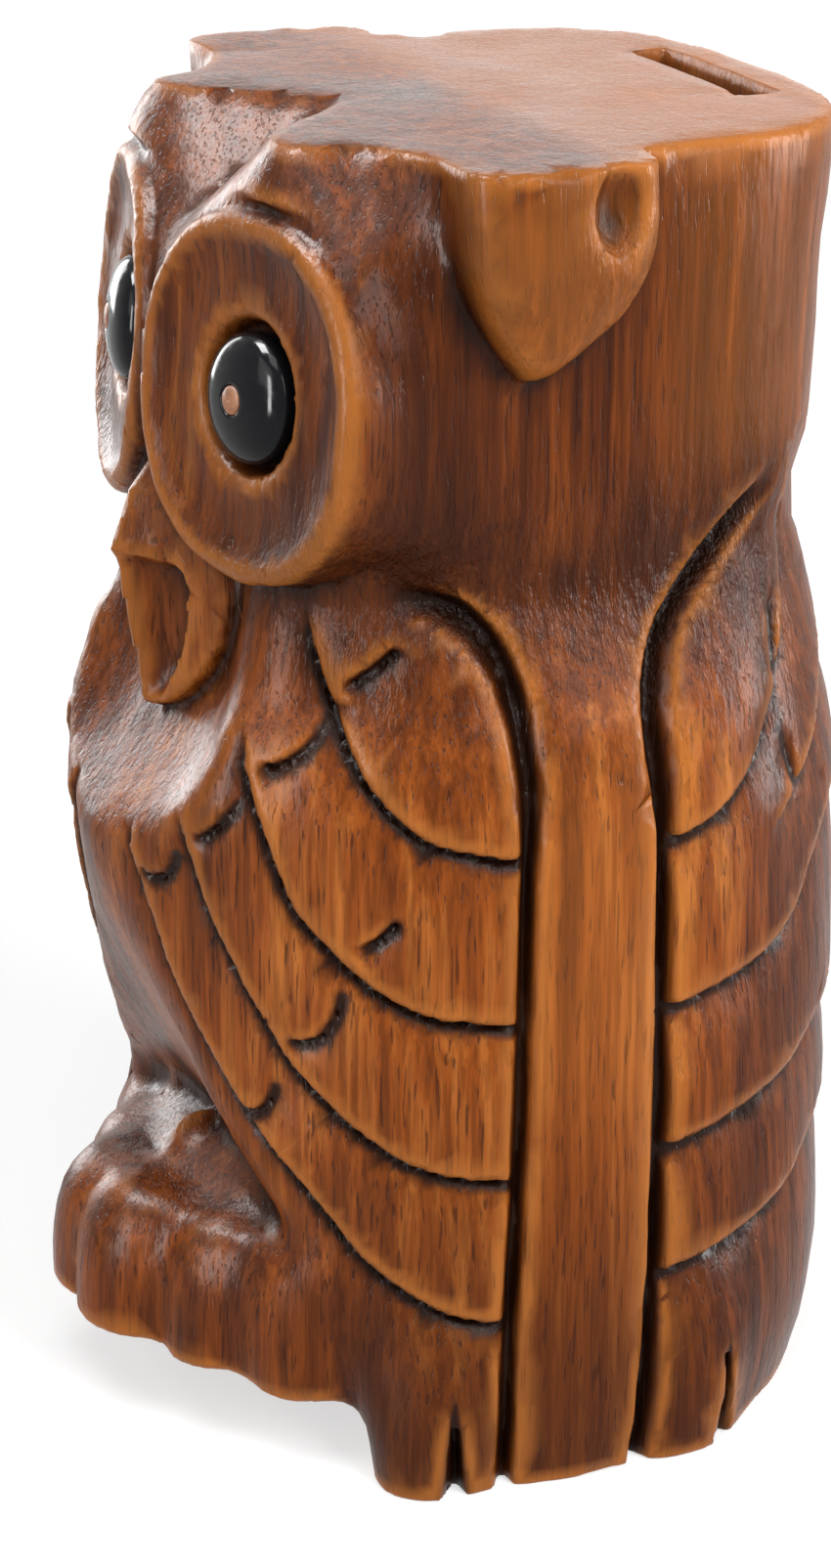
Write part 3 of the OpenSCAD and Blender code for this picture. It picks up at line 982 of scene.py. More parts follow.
@dataclass(frozen=True)
class Hollow:
    """The coin slot, the hollow for the coins and the seat of the base disc."""

    back: float = 9.0
    radius: float = 28.0
    top: float = 106.0
    seat_radius: float = 30.05
    seat_height: float = 6.6
    slot_back: float = 32.2
    slot_length: float = 30.0
    slot_width: float = 4.6
    slot_overlap: float = 2.0
    rim_start: float = 159.2
    rim_slope: float = 0.4

    def cut(self, at: Places) -> Field:
        """Gives the distance to everything that is hollowed out.

        Args:
            at: The places.

        Returns:
            Signed distances, negative in the hollows.
        """
        around = np.hypot(at.x, at.y - self.back)
        room = np.maximum(around - self.radius, at.z - self.top)
        seat = np.maximum(around - self.seat_radius, at.z - self.seat_height)
        ends, sides = at.x - self.slot_length / 2, np.abs(at.y - self.slot_back) - self.slot_width / 2
        slot = np.maximum(ends, sides) - np.maximum(at.z - self.rim_start, 0) * self.rim_slope
        slot = np.maximum(slot, self.top - self.slot_overlap - at.z)
        return np.minimum(np.minimum(room, seat), slot)


@dataclass
class Carving:
    """The whole carved log, as a field of distances.

    Args:
        middle: Place of the body's middle line, in millimetres.
        step: Distance between samples.
        lumps: Uneven lumps left by the knife, as (size of a lump, height, seed).
    """

    middle: float
    step: float
    plan: BodyPlan = BodyPlan()
    disc: FaceDisc = FaceDisc()
    head: Head = Head()
    feet: Feet = Feet()
    hollow: Hollow = Hollow()
    lumps: tuple[tuple[float, float, int], ...] = ((9.0, 0.16, 5), (4.0, 0.072, 6))

    def block(self) -> Block:
        """Lays out the samples of the left half, starting half a step from the middle plane.

        Returns:
            The sample points.
        """
        low, high = (self.step / 2, -52.0, -1.5), (50.0, 52.0, 162.0)
        counts = tuple(math.ceil((b - a) / self.step) + 1 for a, b in zip(low, high))
        return Block(low, counts, self.step)

    def trunk(self, block: Block) -> Field:
        """Gives the distance to the trunk with its feathers.

        Args:
            block: The sample points.

        Returns:
            Signed distances over the left half.
        """
        heights = block.z.ravel().astype(float)
        self.relief = Relief(self.plan, heights)
        surface, angles = self.relief.surface(), self.relief.angles
        shift = self.plan.smooth_table(self.plan.middles, heights)
        slope_z = np.gradient(surface, self.step, axis=0)
        slope_a = np.gradient(surface, np.radians(self.relief.angle_step), axis=1) / surface
        lean = 1 / np.sqrt(1 + np.clip(slope_z, -1.5, 1.5) ** 2 + np.clip(slope_a, -1.5, 1.5) ** 2)
        x, y = block.x[:, :, 0], block.y[:, :, 0] - self.middle
        out = np.empty(block.counts, np.float32)
        for k in range(heights.size):
            back = y - shift[k]
            angle = np.degrees(np.arctan2(back, x))
            reach = np.interp(angle, angles, surface[k])
            out[:, :, k] = (np.hypot(x, back) - reach) * np.interp(angle, angles, lean[k])
        return out

    def field(self, block: Block) -> Field:
        """Joins and cuts every part of the carving.

        Args:
            block: The sample points of the left half.

        Returns:
            Signed distances over the left half.
        """
        at, top = block.places(self.middle), self.plan.height
        body = smooth_max(self.trunk(block), self.plan.scoop_distance(at), 3.2)
        body = smooth_max(body, self.head.bib_cut(at), 2.6)
        body = smooth_max(body, at.z - top, 1.4)
        place = self.disc.local(at)
        body = smooth_min(body, self.head.cheek(at, *place[1:]), 3.0)
        body = smooth_max(body, self.head.brow_tops(at, top), 7.5)
        body = smooth_max(smooth_min(body, self.head.ear(at, top), 1.2), at.z - top, 0.6)
        body = smooth_min(body, self.head.beak(at), 0.4)
        body = smooth_max(body, -self.disc.clearing(*place), 1.2)
        body = smooth_min(body, self.disc.solid(*place), 0.5)
        body = smooth_min(body, self.feet.solid(at, self.middle), 4.0)
        body = smooth_max(body, -at.z, 0.6)
        return np.maximum(body, -self.disc.socket(*place))

    def build(self) -> tuple[Block, Field]:
        """Works out both halves, with small uneven lumps from the knife.

        Returns:
            The sample points and the distances over the whole carving.
        """
        half = self.block()
        left = self.field(half)
        both = np.concatenate([left[::-1], left], axis=0).astype(np.float32)
        low = (-self.step * (both.shape[0] / 2 - 0.5), *half.low[1:])
        whole = Block(low, both.shape, self.step)
        at = whole.places(self.middle)
        for cell, size, seed in self.lumps:
            both += cloud(both.shape, cell / self.step, seed) * size
        both = np.maximum(both, -self.hollow.cut(at._replace(x=np.abs(at.x))))
        both = np.maximum(both, -at.z)
        return whole, np.maximum(both, at.z - self.plan.height)


# ---------------------------------------------------------------- finishes


class Nodes:
    """The node tree of a material or a world, with short ways to add and join nodes."""

    def __init__(self, owner: bpy.types.Material | bpy.types.World) -> None:
        """Empties the tree.

        Args:
            owner: The material or the world.
        """
        owner.use_nodes = True
        self.owner, self.tree = owner, owner.node_tree
        self.tree.nodes.clear()

    @cached_property
    def place(self) -> Socket:
        """The object's own coordinates."""
        return self.add("ShaderNodeTexCoord").outputs["Object"]

    def add(self, kind: str, **settings: str) -> bpy.types.Node:
        """Adds a node.

        Args:
            kind: Blender's name of the node type.
            settings: Attributes to set on it.

        Returns:
            The node.
        """
        node = self.tree.nodes.new(kind)
        for key, value in settings.items():
            setattr(node, key, value)
        return node

    def feed(self, socket: Socket, value: Input) -> None:
        """Joins an output to a socket, or sets the socket's own value.

        Args:
            socket: The input.
            value: An output socket or a plain value.
        """
        if isinstance(value, Socket):
            self.tree.links.new(value, socket)
        else:
            socket.default_value = value

    def tint(self, socket: Socket, colour: Input) -> None:
        """Joins a colour to a socket, or sets the socket to a plain colour."""
        self.feed(socket, (*colour, 1.0) if isinstance(colour, tuple) else colour)

    def noise(
        self, scale: Triple, detail: float = 3.0, rough: float = 0.5, warp: float = 0.0,
        shift: Triple = (0.0, 0.0, 0.0),
    ) -> Socket:
        """Gives smooth noise over the object.

        Args:
            scale: How fine the pattern is along each axis.
            detail: Layers of finer noise.
            rough: Strength of the finer layers.
            warp: How far the pattern is bent by itself.
            shift: How far the pattern is moved.

        Returns:
            The noise value.
        """
        spot, node = self.add("ShaderNodeMapping"), self.add("ShaderNodeTexNoise")
        for name, value in (("Vector", self.place), ("Scale", scale), ("Location", shift)):
            self.feed(spot.inputs[name], value)
        self.feed(node.inputs["Vector"], spot.outputs["Vector"])
        for name, value in (("Scale", 1.0), ("Detail", detail), ("Roughness", rough), ("Distortion", warp)):
            self.feed(node.inputs[name], value)
        return node.outputs["Fac"]

    def maths(self, how: str, a: Input, b: Input) -> Socket:
        """Joins two values by arithmetic.

        Args:
            how: Blender's name of the operation.
            a: First value.
            b: Second value.

        Returns:
            The result.
        """
        node = self.add("ShaderNodeMath", operation=how)
        self.feed(node.inputs[0], a)
        self.feed(node.inputs[1], b)
        return node.outputs[0]

    def times(self, a: Input, b: Input) -> Socket:
        """Multiplies two values."""
        return self.maths("MULTIPLY", a, b)

    def plus(self, a: Input, b: Input) -> Socket:
        """Adds two values."""
        return self.maths("ADD", a, b)

    def ease(
        self, value: Input, low: float, high: float, to_low: float = 0.0, to_high: float = 1.0
    ) -> Socket:
        """Maps a value from one range to another, held at the ends.

        Args:
            value: The value.
            low: Where the first range starts.
            high: Where it ends.
            to_low: Where the second range starts.
            to_high: Where it ends.

        Returns:
            The mapped value.
        """
        node = self.add("ShaderNodeMapRange", interpolation_type="SMOOTHSTEP")
        for socket, number in zip(node.inputs, (value, low, high, to_low, to_high)):
            self.feed(socket, number)
        return node.outputs[0]

    def blend(self, share: Input, a: Input, b: Input, how: str = "MIX") -> Socket:
        """Mixes two colours.

        Args:
            share: How much of the second colour shows.
            a: First colour.
            b: Second colour.
            how: Blender's blend mode.

        Returns:
            The mixed colour.
        """
        node = self.add("ShaderNodeMix", data_type="RGBA", blend_type=how)
        self.feed(node.inputs["Factor"], share)
        self.tint(node.inputs[6], a)
        self.tint(node.inputs[7], b)
        return node.outputs[2]

    def ramp(self, value: Input, stops: tuple[tuple[float, Triple], ...]) -> Socket:
        """Turns a value into a colour along a ramp.

        Args:
            value: The value.
            stops: Places on the ramp and their colours.

        Returns:
            The colour.
        """
        node = self.add("ShaderNodeValToRGB")
        self.feed(node.inputs[0], value)
        marks = node.color_ramp.elements
        while len(marks) < len(stops):
            marks.new(0.5)
        for mark, (place, colour) in zip(marks, stops):
            mark.position, mark.color = place, (*colour, 1.0)
        return node.outputs["Color"]

    def bump(self, height: Input, distance: float, strength: float, normal: Socket | None = None) -> Socket:
        """Turns a height into small surface relief.

        Args:
            height: The height, from 0 to 1.
            distance: Its full height in metres.
            strength: How much of it shows.
            normal: Relief that lies under it.

        Returns:
            The surface's direction.
        """
        node = self.add("ShaderNodeBump")
        for name, value in (("Height", height), ("Distance", distance), ("Strength", strength)):
            self.feed(node.inputs[name], value)
        if normal is not None:
            self.feed(node.inputs["Normal"], normal)
        return node.outputs["Normal"]

    def attribute(self, name: str) -> Socket:
        """Reads a value stored on the mesh."""
        return self.add("ShaderNodeAttribute", attribute_name=name).outputs["Fac"]

    def seen(self) -> Socket:
        """Tells what is looked at or mirrored from what only lights the wood.

        Returns:
            1 for a ray of the first kind, 0 for one of the second.
        """
        path = self.add("ShaderNodeLightPath").outputs
        straight = self.maths("MAXIMUM", path["Is Camera Ray"], path["Is Glossy Ray"])
        return self.maths("MAXIMUM", straight, path["Is Transmission Ray"])

    def finish(
        self, colour: Input, roughness: Input, normal: Socket | None = None, **settings: Input
    ) -> bpy.types.Material:
        """Closes the material with one surface shader.

        Args:
            colour: Base colour.
            roughness: Roughness of the surface.
            normal: Surface relief.
            settings: Values of further inputs, with underscores for spaces.

        Returns:
            The finished material.
        """
        shader = self.add("ShaderNodeBsdfPrincipled")
        self.tint(shader.inputs["Base Color"], colour)
        self.feed(shader.inputs["Roughness"], roughness)
        if normal is not None:
            self.feed(shader.inputs["Normal"], normal)
        for key, value in settings.items():
            self.feed(shader.inputs[key.replace("_", " ")], value)
        out = self.add("ShaderNodeOutputMaterial")
        self.tree.links.new(shader.outputs[0], out.inputs["Surface"])
        return self.owner


@dataclass(frozen=True)
class CarvedWood:
    """Reddish hardwood with upright grain, stained dark in the cuts and lacquered, with painted light and
    painted shade laid over its colour.

    Args:
        painted_light_and_tone_layers: Names of the stored values that change the colour, how much each
            changes it, and which colour it changes to: sapwood, worn edges, painted shade and painted light.
    """

    dark: Triple = (0.022, 0.0045, 0.0009)
    brown: Triple = (0.088, 0.0185, 0.0022)
    orange: Triple = (0.200, 0.0460, 0.0048)
    gold: Triple = (0.43, 0.145, 0.026)
    # Colour of the dark staining in the cuts, also used for the painted shade in hollows.
    stain_and_shade: Triple = (0.009, 0.0026, 0.0010)
    sapwood: Triple = (0.36, 0.125, 0.035)
    painted_light_and_tone_layers: tuple[tuple[str, float, str], ...] = (
        ("sapwood", 0.55, "sapwood"), ("shade", 0.80, "dark"), ("edge", 0.50, "gold"),
        ("glow", 0.26, "gold"), ("recess", 0.85, "stain_and_shade"),
    )
    pore_share: float = 0.62
    cut_stain_and_shade_share: float = 0.94
    shine: float = 0.08
    coat: float = 0.015

    def build(self) -> bpy.types.Material:
        """Makes the material.

        Returns:
            The material.
        """
        n = Nodes(bpy.data.materials.new("carved_wood_finish"))
        broad = n.noise((38, 38, 9), 3.0, 0.55, 0.6)
        grain = n.noise((420, 420, 17), 4.0, 0.6, 0.35, (0.3, 0.1, 0.2))
        fine = n.noise((1500, 1500, 60), 2.0, 0.6, shift=(0.7, 0.2, 0.4))
        pores = n.noise((2300, 2300, 190), 1.0, 0.5, shift=(0.1, 0.9, 0.6))
        knife = n.noise((210, 210, 95), 2.0, 0.55, shift=(0.5, 0.5, 0.5))
        tool = n.noise((900, 900, 260), 3.0, 0.65, shift=(0.2, 0.4, 0.9))
        mixed = n.plus(n.times(grain, 0.50), n.times(broad, 0.50))
        tones = (0.30, self.dark), (0.44, self.brown), (0.57, self.orange), (0.76, self.gold)
        streak = n.ramp(n.ease(fine, 0.40, 0.62, 0.72, 1.12), ((0.0, (0, 0, 0)), (1.0, (1, 1, 1))))
        colour = n.blend(1.0, n.ramp(mixed, tones), streak, "MULTIPLY")
        pore = n.ease(pores, 0.60, 0.70)
        colour = n.blend(n.times(pore, self.pore_share), colour, self.dark)
        # Layers over the grain: sapwood and worn edges, painted shade on the neck, face, lower body and in
        # hollows, and painted light on the ears, sides and back of the head.
        for value, share, tone in self.painted_light_and_tone_layers:
            colour = n.blend(n.times(n.attribute(value), share), colour, getattr(self, tone))
        # Dark staining and painted shade in the cuts, with a ragged edge.
        ragged = n.ease(n.plus(n.attribute("cut_stain_and_shade"), n.times(fine, 0.35)), 0.28, 0.95)
        colour = n.blend(n.times(ragged, self.cut_stain_and_shade_share), colour, self.stain_and_shade)
        normal = n.bump(n.maths("SUBTRACT", n.times(fine, 0.5), n.times(pore, 0.9)), 0.00012, 0.55)
        normal = n.bump(knife, 0.0008, 0.22, normal)
        normal = n.bump(n.times(tool, n.attribute("rough")), 0.0010, 0.9, normal)
        rough = n.ease(n.plus(n.times(broad, 0.5), n.times(fine, 0.5)), 0.3, 0.7, 0.27, 0.40)
        return n.finish(
            colour, rough, normal, Specular_IOR_Level=self.shine, Coat_Weight=self.coat,
            Coat_Roughness=0.20, Coat_IOR=1.45,
        )


@dataclass(frozen=True)
class PlainWood:
    """Sanded pale wood with thin straight grain.

    Args:
        name: Name of the material.
        light: Colour between the grain lines.
        dark: Colour of the grain lines.
    """

    name: str
    light: Triple
    dark: Triple

    def build(self) -> bpy.types.Material:
        """Makes the material.

        Returns:
            The material.
        """
        n = Nodes(bpy.data.materials.new(self.name))
        grain, fine = n.noise((40, 420, 420), 4.0, 0.6, 0.4), n.noise((160, 2200, 2200), 2.0, 0.6)
        mixed = n.plus(n.times(grain, 0.7), n.times(fine, 0.3))
        colour = n.ramp(mixed, ((0.35, self.dark), (0.65, self.light)))
        normal = n.bump(fine, 0.00008, 0.5)
        return n.finish(colour, n.ease(fine, 0.3, 0.7, 0.42, 0.6), normal, Specular_IOR_Level=0.4)


@dataclass(frozen=True)
class GlossBead:
    """Black polished glass with faint dust and scuffs."""

    colour: Triple = (0.0045, 0.0045, 0.006)
    dust: Triple = (0.05, 0.045, 0.04)

    def build(self) -> bpy.types.Material:
        """Makes the material.

        Returns:
            The material.
        """
        n = Nodes(bpy.data.materials.new("eye_black_finish"))
        dust, wave = n.noise((900, 900, 900), 3.0, 0.6), n.noise((260, 260, 260), 2.0, 0.5)
        colour = n.blend(n.ease(dust, 0.66, 0.78, 0.0, 0.25), self.colour, self.dust)
        return n.finish(
            colour, n.ease(dust, 0.35, 0.75, 0.10, 0.24), n.bump(wave, 0.0001, 0.35),
            Specular_IOR_Level=0.10, Coat_Weight=0.04, Coat_Roughness=0.06, Coat_IOR=1.4,
        )


@dataclass(frozen=True)
class SoftRubber:
    """Dull black rubber with a fine moulded grain and a pale bloom."""

    colour: Triple = (0.018, 0.017, 0.017)
    bloom: Triple = (0.05, 0.048, 0.046)

    def build(self) -> bpy.types.Material:
        """Makes the material.

        Returns:
            The material.
        """
        n = Nodes(bpy.data.materials.new("stopper_rubber_finish"))
        grain, bloom = n.noise((1800, 1800, 1800), 3.0, 0.6), n.noise((120, 120, 120), 3.0, 0.5)
        colour = n.blend(n.ease(bloom, 0.4, 0.75, 0.0, 0.35), self.colour, self.bloom)
        return n.finish(colour, n.ease(bloom, 0.3, 0.7, 0.55, 0.75), n.bump(grain, 0.00008, 0.5))


# ---------------------------------------------------------------- pieces


@dataclass
class CarvedBody:
    """The log: trunk, head, face, feet and the hollow for the coins.

    Args:
        middle: Place of the body's middle line, in millimetres.
        quality: How finely it is sampled.
        coarseness: How far flat areas may be merged into larger faces.
        wide_reach: How far round a point to look for broad hollows.
        near_reach: How far round a point to look for edges and narrow cuts.
    """

    middle: float
    quality: Quality
    coarseness: float = 0.12
    wide_reach: float = 3.2
    near_reach: float = 1.2

    def build(self) -> bpy.types.Object:
        """Carves the log and stores how worn or stained each point is, and how much painted light and
        painted shade lies on it.

        Returns:
            The new object.
        """
        carving = Carving(self.middle, self.quality.value)
        block, values = carving.build()
        points, faces = block.skin(values, self.coarseness)
        made = make_mesh("owl_carving", points, faces)
        wide = self.hollowness(block, values, points, self.wide_reach)
        near = self.hollowness(block, values, points, self.near_reach)
        at = Places(points[:, 0], points[:, 1] - self.middle, points[:, 2])
        shown = 1 - smooth_step(-carving.hollow.cut(at._replace(x=np.abs(at.x))), -0.6, 0.0)
        # Painted shade in hollows and narrow cuts: darker where more wood stands round a point.
        recess = 0.55 * smooth_step(near, 0.05, 0.30) + 0.75 * smooth_step(wide, 0.06, 0.36)
        recess = np.clip(recess, 0, 1)
        wear_and_painted_light = {
            "recess": recess * shown,
            "cut_stain_and_shade": carving.relief.stain_and_shade_at(at) * shown,
            "edge": smooth_step(-near, 0.05, 0.22) * (1 - recess) * shown,
            "shade": self.shade(at),
            "glow": self.glow(at) * shown,
            "sapwood": smooth_step(at.z, 157.0, 159.5) * smooth_step(at.y, -4.0, 2.0),
            "rough": self.roughness(at),
        }
        for name, amount in wear_and_painted_light.items():
            layer = made.data.attributes.new(name, "FLOAT", "POINT")
            layer.data.foreach_set("value", np.asarray(amount, np.float32))
        return made

    @staticmethod
    def hollowness(block: Block, values: Field, points: Field, reach: float) -> Field:
        """Measures how much wood stands round each point, against a flat surface.

        Args:
            block: The sample points.
            values: Signed distances at the samples.
            points: The points, in millimetres.
            reach: How far round each point to look.

        Returns:
            Positive in hollows, negative on edges.
        """
        solid = np.clip(0.5 - values / (2 * block.step), 0, 1).astype(np.float32)
        for axis in (0, 1, 2, 0, 1, 2):
            solid = spread(solid, max(1, round(reach / block.step)), axis)
        return (read_field(solid, (points - np.array(block.low)) / block.step) - 0.5) * 2

    @staticmethod
    def shade(at: Places) -> Field:
        """Gives where painted shade darkens the wood.

        Args:
            at: The places.

        Returns:
            How dark the painted shade is on the neck under the head, beside and on the face discs, and low
            on the body toward the ground, from 0 to 1.
        """
        x, y, z = at
        side = np.abs(x)
        neck = hump(z, 111.0, 9.0) * smooth_step(side, 16.0, 28.0)
        cheek = hump(y, -22.0, 8.5) * smooth_step(z, 108.0, 116.0) * (1 - smooth_step(z, 148.0, 156.0))
        face = smooth_step(-y, 29.0, 33.0) * smooth_step(z, 106.0, 112.0)
        face = face * (1 - smooth_step(z, 148.0, 154.0))
        foot = (1 - smooth_step(z, 4.0, 62.0)) * smooth_step(y, -36.0, -26.0)
        foot = foot * (1 - 0.8 * smooth_step(y, 8.0, 24.0))
        beside = cheek * smooth_step(side, 30.0, 36.0)
        return np.clip(0.70 * neck + 0.75 * beside + 0.40 * face + 0.85 * foot, 0, 1)

    @staticmethod
    def glow(at: Places) -> Field:
        """Gives where painted light brightens the wood.

        Args:
            at: The places.

        Returns:
            How bright the painted light is on the ears, the side columns and the back of the head, from 0 to
            1.
        """
        x, y, z = at
        side = smooth_step(np.abs(x), 34.0, 42.0)
        ear = smooth_step(np.abs(x), 39.0, 43.0) * smooth_step(z, 134.0, 142.0)
        ear = ear * (1 - smooth_step(z, 154.0, 159.0))
        column = hump(y, -2.0, 7.0) * smooth_step(z, 40.0, 62.0) * (1 - smooth_step(z, 82.0, 98.0)) * side
        back = smooth_step(y, 4.0, 16.0) * smooth_step(z, 116.0, 130.0)
        return np.clip(0.9 * ear + 0.7 * column + 0.6 * back, 0, 1)

    @staticmethod
    def roughness(at: Places) -> Field:
        """Gives where the tool marks were left rough.

        Args:
            at: The places.

        Returns:
            How rough the neck and the chip in each ear are, from 0 to 1.
        """
        x, y, z = at
        side = np.abs(x)
        neck = hump(z, 113.0, 11.0) * smooth_step(side, 20.0, 32.0)
        tear = np.exp(-((y / 6.0) ** 2) - ((z - 149.0) / 6.0) ** 2) * smooth_step(side, 37.0, 40.0)
        return np.clip(0.12 + 0.75 * neck + 0.9 * tear, 0, 1)

    def dress(self, made: bpy.types.Object, finish: bpy.types.Material) -> None:
        """Finishes the log and sets it in place of the plain one."""
        dress(made, finish, "carved_body", Slot.CARVED_WOOD)


@dataclass
class EyePiece(ABC):
    """A turned piece that sits in an eye socket.

    Args:
        side: The left or the right socket.
        middle: Place of the body's middle line, in millimetres.
        disc: The face disc that has the socket.
    """

    side: Side
    middle: float
    disc: FaceDisc = FaceDisc()
    label: ClassVar[str]
    node: ClassVar[str]
    slot: ClassVar[Slot]
    sides: ClassVar[int]

    @abstractmethod
    def profile(self) -> Line:
        """Gives the piece's outline as (radius, height) corners, anticlockwise."""

    def build(self) -> bpy.types.Object:
        """Turns the piece and sets it in its socket.

        Returns:
            The new object.
        """
        points, faces = turned_solid(self.profile(), self.sides)
        made = make_mesh(f"{self.side.name.lower()}_{self.label}", points, faces)
        made.data.transform(self.disc.seat(self.middle, self.side))
        return made

    def dress(self, made: bpy.types.Object, finish: bpy.types.Material) -> None:
        """Finishes the piece and sets it in place of the plain one."""
        dress(made, finish, f"{self.side.name.lower()}_{self.node}", self.slot)


@dataclass
class EyeBead(EyePiece):
    """A round glass bead with a hole for its pin, a flat back and a domed front."""

    radius: float = 7.5
    height: float = 5.3
    shoulder: float = 2.2
    hole: float = 1.76
    steps: int = 24
    label, node, slot, sides = "eye_glass", "eye_bead", Slot.EYE_BLACK, 96

    def profile(self) -> Line:
        """Gives the bead's outline.

        Returns:
            Its (radius, height) corners.
        """
        front, dome = [], self.height - self.shoulder
        for step in range(self.steps + 1):
            t = math.radians(90 * step / self.steps)
            front.append((self.radius * math.cos(t) ** 0.9, self.shoulder + dome * math.sin(t) ** 0.95))
        front = [(r, h) for r, h in front if r > self.hole + 0.25]
        last = front[-1][1]
        back = (self.hole, 0.05), (self.radius - 0.3, 0.05), (self.radius, 0.35)
        return *back, *front, (self.hole + 0.1, last + 0.05), (self.hole, last - 0.1)


@dataclass
class EyePin(EyePiece):
    """The wooden pin through a bead, with a softly domed head."""

    radius: float = 1.68
    grip: float = 5.9
    head: float = 5.55
    label, node, slot, sides = "pin_wood", "eye_pin", Slot.PIN_WOOD, 40

    def profile(self) -> Line:
        """Gives the pin's outline.

        Returns:
            Its (radius, height) corners.
        """
        r, top = self.radius, self.head
        rim = [(r * math.cos(t), top - 0.5 + 0.5 * math.sin(t)) for t in np.linspace(0.0, 1.3, 7)]
        return (0.02, -self.grip), (r - 0.15, -self.grip), (r, 0.2 - self.grip), *rim, (0.02, top)


@dataclass(frozen=True)
class KeptPiece:
    """A plain piece that is shown just as it was made, with a proper finish.

    Args:
        node: Name of the piece.
    """

    node: str

    def dress(self, finish: bpy.types.Material) -> None:
        """Gives the piece its finish.

        Args:
            finish: The material.
        """
        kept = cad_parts[self.node]
        kept.data.materials.clear()
        kept.data.materials.append(finish)
        LOG.info("%s: kept, %d faces", self.node, len(kept.data.polygons))


# ---------------------------------------------------------------- studio


@dataclass(frozen=True)
class Softbox:
    """A rectangular light that faces the owl.

    Args:
        name: Name of the light.
        azimuth: Direction round the owl in degrees, 0 in front and 90 on its left.
        lift: Height above the horizon, in degrees.
        distance: Distance from the owl, in metres.
        size: Width and height, in metres.
        power: Power, in watts.
        shine_only: True where the light only makes highlights.
        aim: Point that the light faces, in metres.
    """

    name: str
    azimuth: float
    lift: float
    distance: float
    size: tuple[float, float]
    power: float
    shine_only: bool = False
    aim: Triple = (0.0, 0.0, 0.08)

    def build(self) -> bpy.types.Object:
        """Makes the light.

        Returns:
            The new light.
        """
        lamp = bpy.data.lights.new(self.name, "AREA")
        lamp.shape, lamp.size, lamp.size_y = "RECTANGLE", *self.size
        lamp.energy = self.power
        made = bpy.data.objects.new(self.name, lamp)
        a, e = math.radians(self.azimuth), math.radians(self.lift)
        way = Vector((math.sin(a) * math.cos(e), -math.cos(a) * math.cos(e), math.sin(e)))
        made.location = way * self.distance + Vector(self.aim)
        made.rotation_mode = "QUATERNION"
        made.rotation_quaternion = way.to_track_quat("Z", "Y")
        made.visible_diffuse = not self.shine_only
        bpy.context.scene.collection.objects.link(made)
        return made


@dataclass(frozen=True)
class Floor:
    """A round pale floor that whitens with distance.

    Args:
        rings: Radii of the rings of faces, in metres.
        sides: Faces round each ring.
        fade: Where the floor starts and ends whitening, in metres.
    """

    rings: tuple[float, ...] = (0.15, 0.4, 1.0, 3.0)
    sides: int = 48
    fade: tuple[float, float] = (0.16, 0.55)
    pale: Triple = (0.90, 0.90, 0.90)
    paler: Triple = (0.93, 0.93, 0.93)
    dull: Triple = (0.02, 0.02, 0.02)

    def finish(self) -> bpy.types.Material:
        """Makes the floor's material.

        Returns:
            The finished material.
        """
        n = Nodes(bpy.data.materials.new("floor_finish"))
        grain = n.noise((9, 9, 9), 2.0, 0.5)
        colour = n.ramp(grain, ((0.3, self.pale), (0.7, self.paler)))
        far = n.add("ShaderNodeVectorMath", operation="LENGTH")
        n.feed(far.inputs[0], n.place)
        spot, seen = n.ease(far.outputs["Value"], *self.fade), n.seen()
        white = n.times(seen, n.ease(spot, 0.0, 1.0, 0.62, 0.97))
        colour = n.blend(n.times(seen, n.ease(spot, 0.0, 1.0, 0.5, 0.85)), colour, self.dull)
        return n.finish(
            colour, n.ease(grain, 0.3, 0.7, 0.85, 0.95), Specular_IOR_Level=0.0,
            Emission_Color=(1, 1, 1, 1), Emission_Strength=white,
        )

    def build(self) -> bpy.types.Object:
        """Makes the floor.

        Returns:
            The floor.
        """
        turns = np.linspace(0, 2 * math.pi, self.sides, endpoint=False)
        points = [(r * math.cos(t), r * math.sin(t), 0.0) for r in self.rings for t in turns]
        faces = [list(range(self.sides))]
        for ring in range(len(self.rings) - 1):
            for i in range(self.sides):
                a, b = ring * self.sides + i, ring * self.sides + (i + 1) % self.sides
                faces.append([a, a + self.sides, b + self.sides, b])
        mesh = bpy.data.meshes.new("floor")
        mesh.from_pydata(points, [], faces)
        made = bpy.data.objects.new("floor", mesh)
        bpy.context.scene.collection.objects.link(made)
        made.data.materials.append(self.finish())
        return made


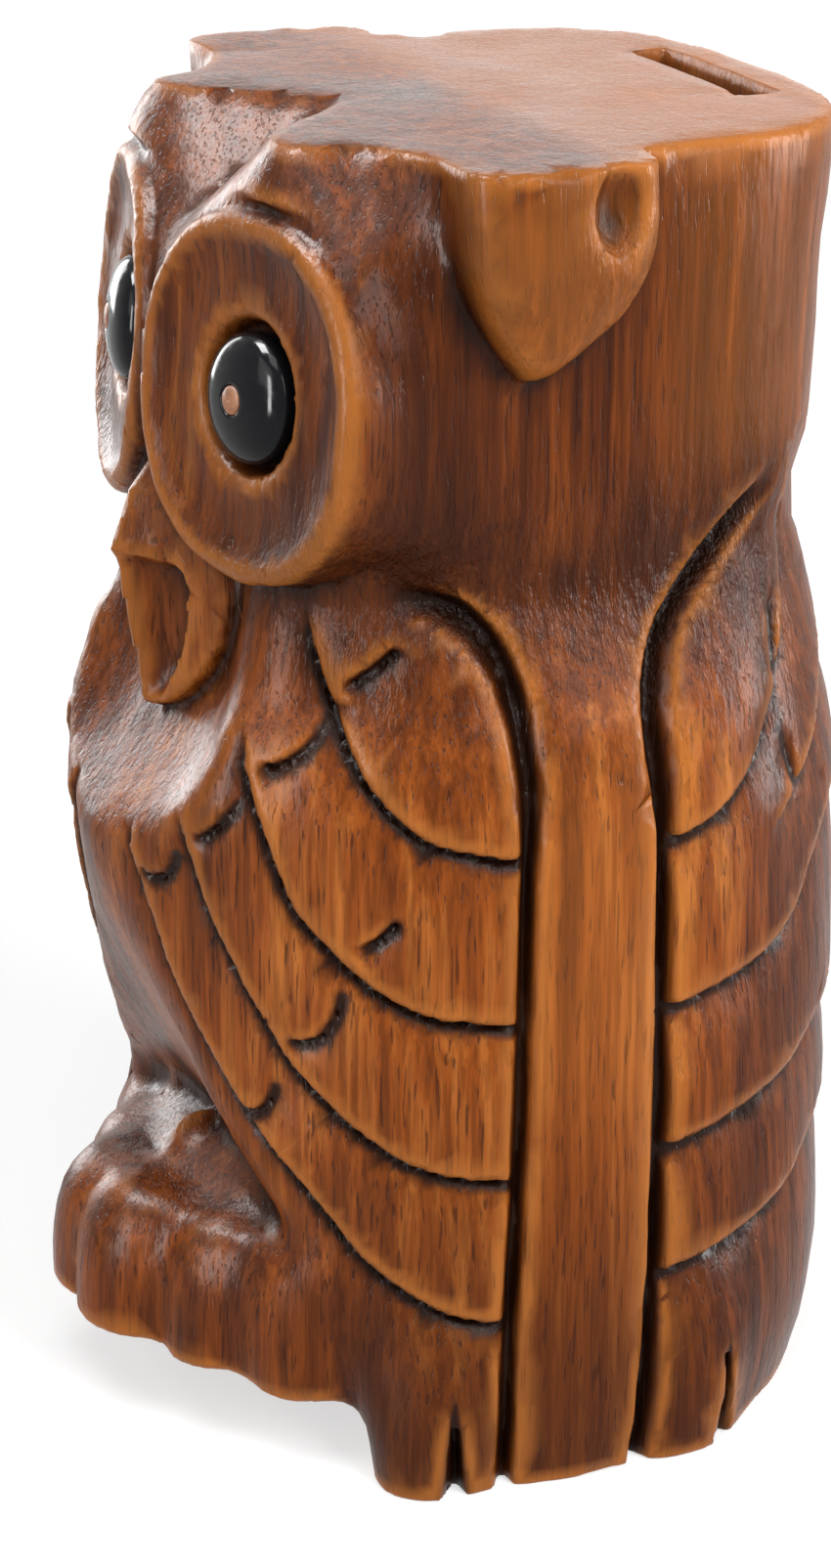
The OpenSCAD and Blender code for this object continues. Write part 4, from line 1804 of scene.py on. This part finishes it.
@dataclass
class Studio:
    """A pale floor, a white background and soft lights.

    Args:
        sky: Brightness of the light from all round.
        boxes: The lights.
    """

    sky: float = 0.30
    boxes: tuple[Softbox, ...] = (
        Softbox("side", 108.0, 34.0, 0.95, (0.50, 0.50), 9.5),
        Softbox("front_fill", 10.0, 30.0, 0.95, (0.50, 0.50), 2.6),
        Softbox("top", 45.0, 68.0, 0.90, (0.40, 0.40), 3.5),
        Softbox("front_shine", 20.0, 8.0, 0.95, (0.14, 0.80), 18.0, shine_only=True),
        Softbox("brow_shine", -28.0, 66.0, 0.90, (0.34, 0.34), 26.0, shine_only=True),
        Softbox("left_shine", -76.0, 10.0, 0.95, (0.36, 0.70), 10.0, shine_only=True),
        Softbox("far_shine", -114.0, 13.0, 0.95, (0.60, 0.36), 1.0, shine_only=True),
        Softbox("back_shine", 158.0, 10.0, 0.95, (0.16, 0.80), 22.0, shine_only=True),
    )

    def background(self) -> None:
        """Shows plain white behind the owl, and lights it softly from all round."""
        world = bpy.data.worlds.new("studio_world")
        bpy.context.scene.world = world
        n = Nodes(world)
        glow, out = n.add("ShaderNodeBackground"), n.add("ShaderNodeOutputWorld")
        sky = (self.sky, self.sky, self.sky)
        n.feed(glow.inputs["Color"], n.blend(n.seen(), sky, (1.0, 1.0, 1.0)))
        n.feed(out.inputs["Surface"], glow.outputs[0])

    def build(self) -> None:
        """Sets up the floor, the background and the lights."""
        Floor().build()
        self.background()
        for box in self.boxes:
            box.build()
        LOG.info("studio: %d soft lights", len(self.boxes))


@dataclass(frozen=True)
class View:
    """Where the main view is taken from.

    Args:
        place: Place of the lens in millimetres, from the body's middle line.
        way: Direction that the lens faces.
        lens: Focal length, in millimetres.
        sensor: Width of the sensor, in millimetres.
    """

    place: Triple = (412.69, -183.40, 247.25)
    way: Triple = (-0.85668, 0.37011, -0.35934)
    lens: float = 89.34
    sensor: float = 36.0

    def build(self, middle: float) -> bpy.types.Object:
        """Makes the camera.

        Args:
            middle: Place of the body's middle line, in millimetres.

        Returns:
            The camera.
        """
        lens = bpy.data.cameras.new("view")
        lens.lens, lens.sensor_width, lens.sensor_fit = self.lens, self.sensor, "AUTO"
        lens.clip_start, lens.clip_end = 0.01, 20.0
        made = bpy.data.objects.new("view", lens)
        made.location = Vector((self.place[0], self.place[1] + middle, self.place[2])) * MM
        made.rotation_mode = "QUATERNION"
        made.rotation_quaternion = Vector(self.way).to_track_quat("-Z", "Y")
        bpy.context.scene.collection.objects.link(made)
        bpy.context.scene.camera = made
        return made


def main() -> None:
    """Builds the owl, its pieces and the studio."""
    logging.basicConfig(level=logging.INFO, format="%(message)s")
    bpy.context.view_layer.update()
    low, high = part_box("base_disc")
    middle = (low.y + high.y) / 2 / MM - Hollow().back
    body = CarvedBody(middle, Quality.FINAL)
    body.dress(body.build(), CarvedWood().build())
    glass = GlossBead().build()
    pin_wood = PlainWood("pin_wood_finish", (0.34, 0.12, 0.035), (0.12, 0.035, 0.01)).build()
    for side in Side:
        for piece, finish in ((EyeBead(side, middle), glass), (EyePin(side, middle), pin_wood)):
            piece.dress(piece.build(), finish)
    plain = PlainWood("plain_wood_finish", (0.42, 0.22, 0.09), (0.20, 0.085, 0.03)).build()
    KeptPiece("base_disc").dress(plain)
    KeptPiece("coin_stopper").dress(SoftRubber().build())
    Studio().build()
    View().build(middle)
    bpy.context.scene.view_settings.view_transform = "Standard"


if __name__ == "__main__":
    main()
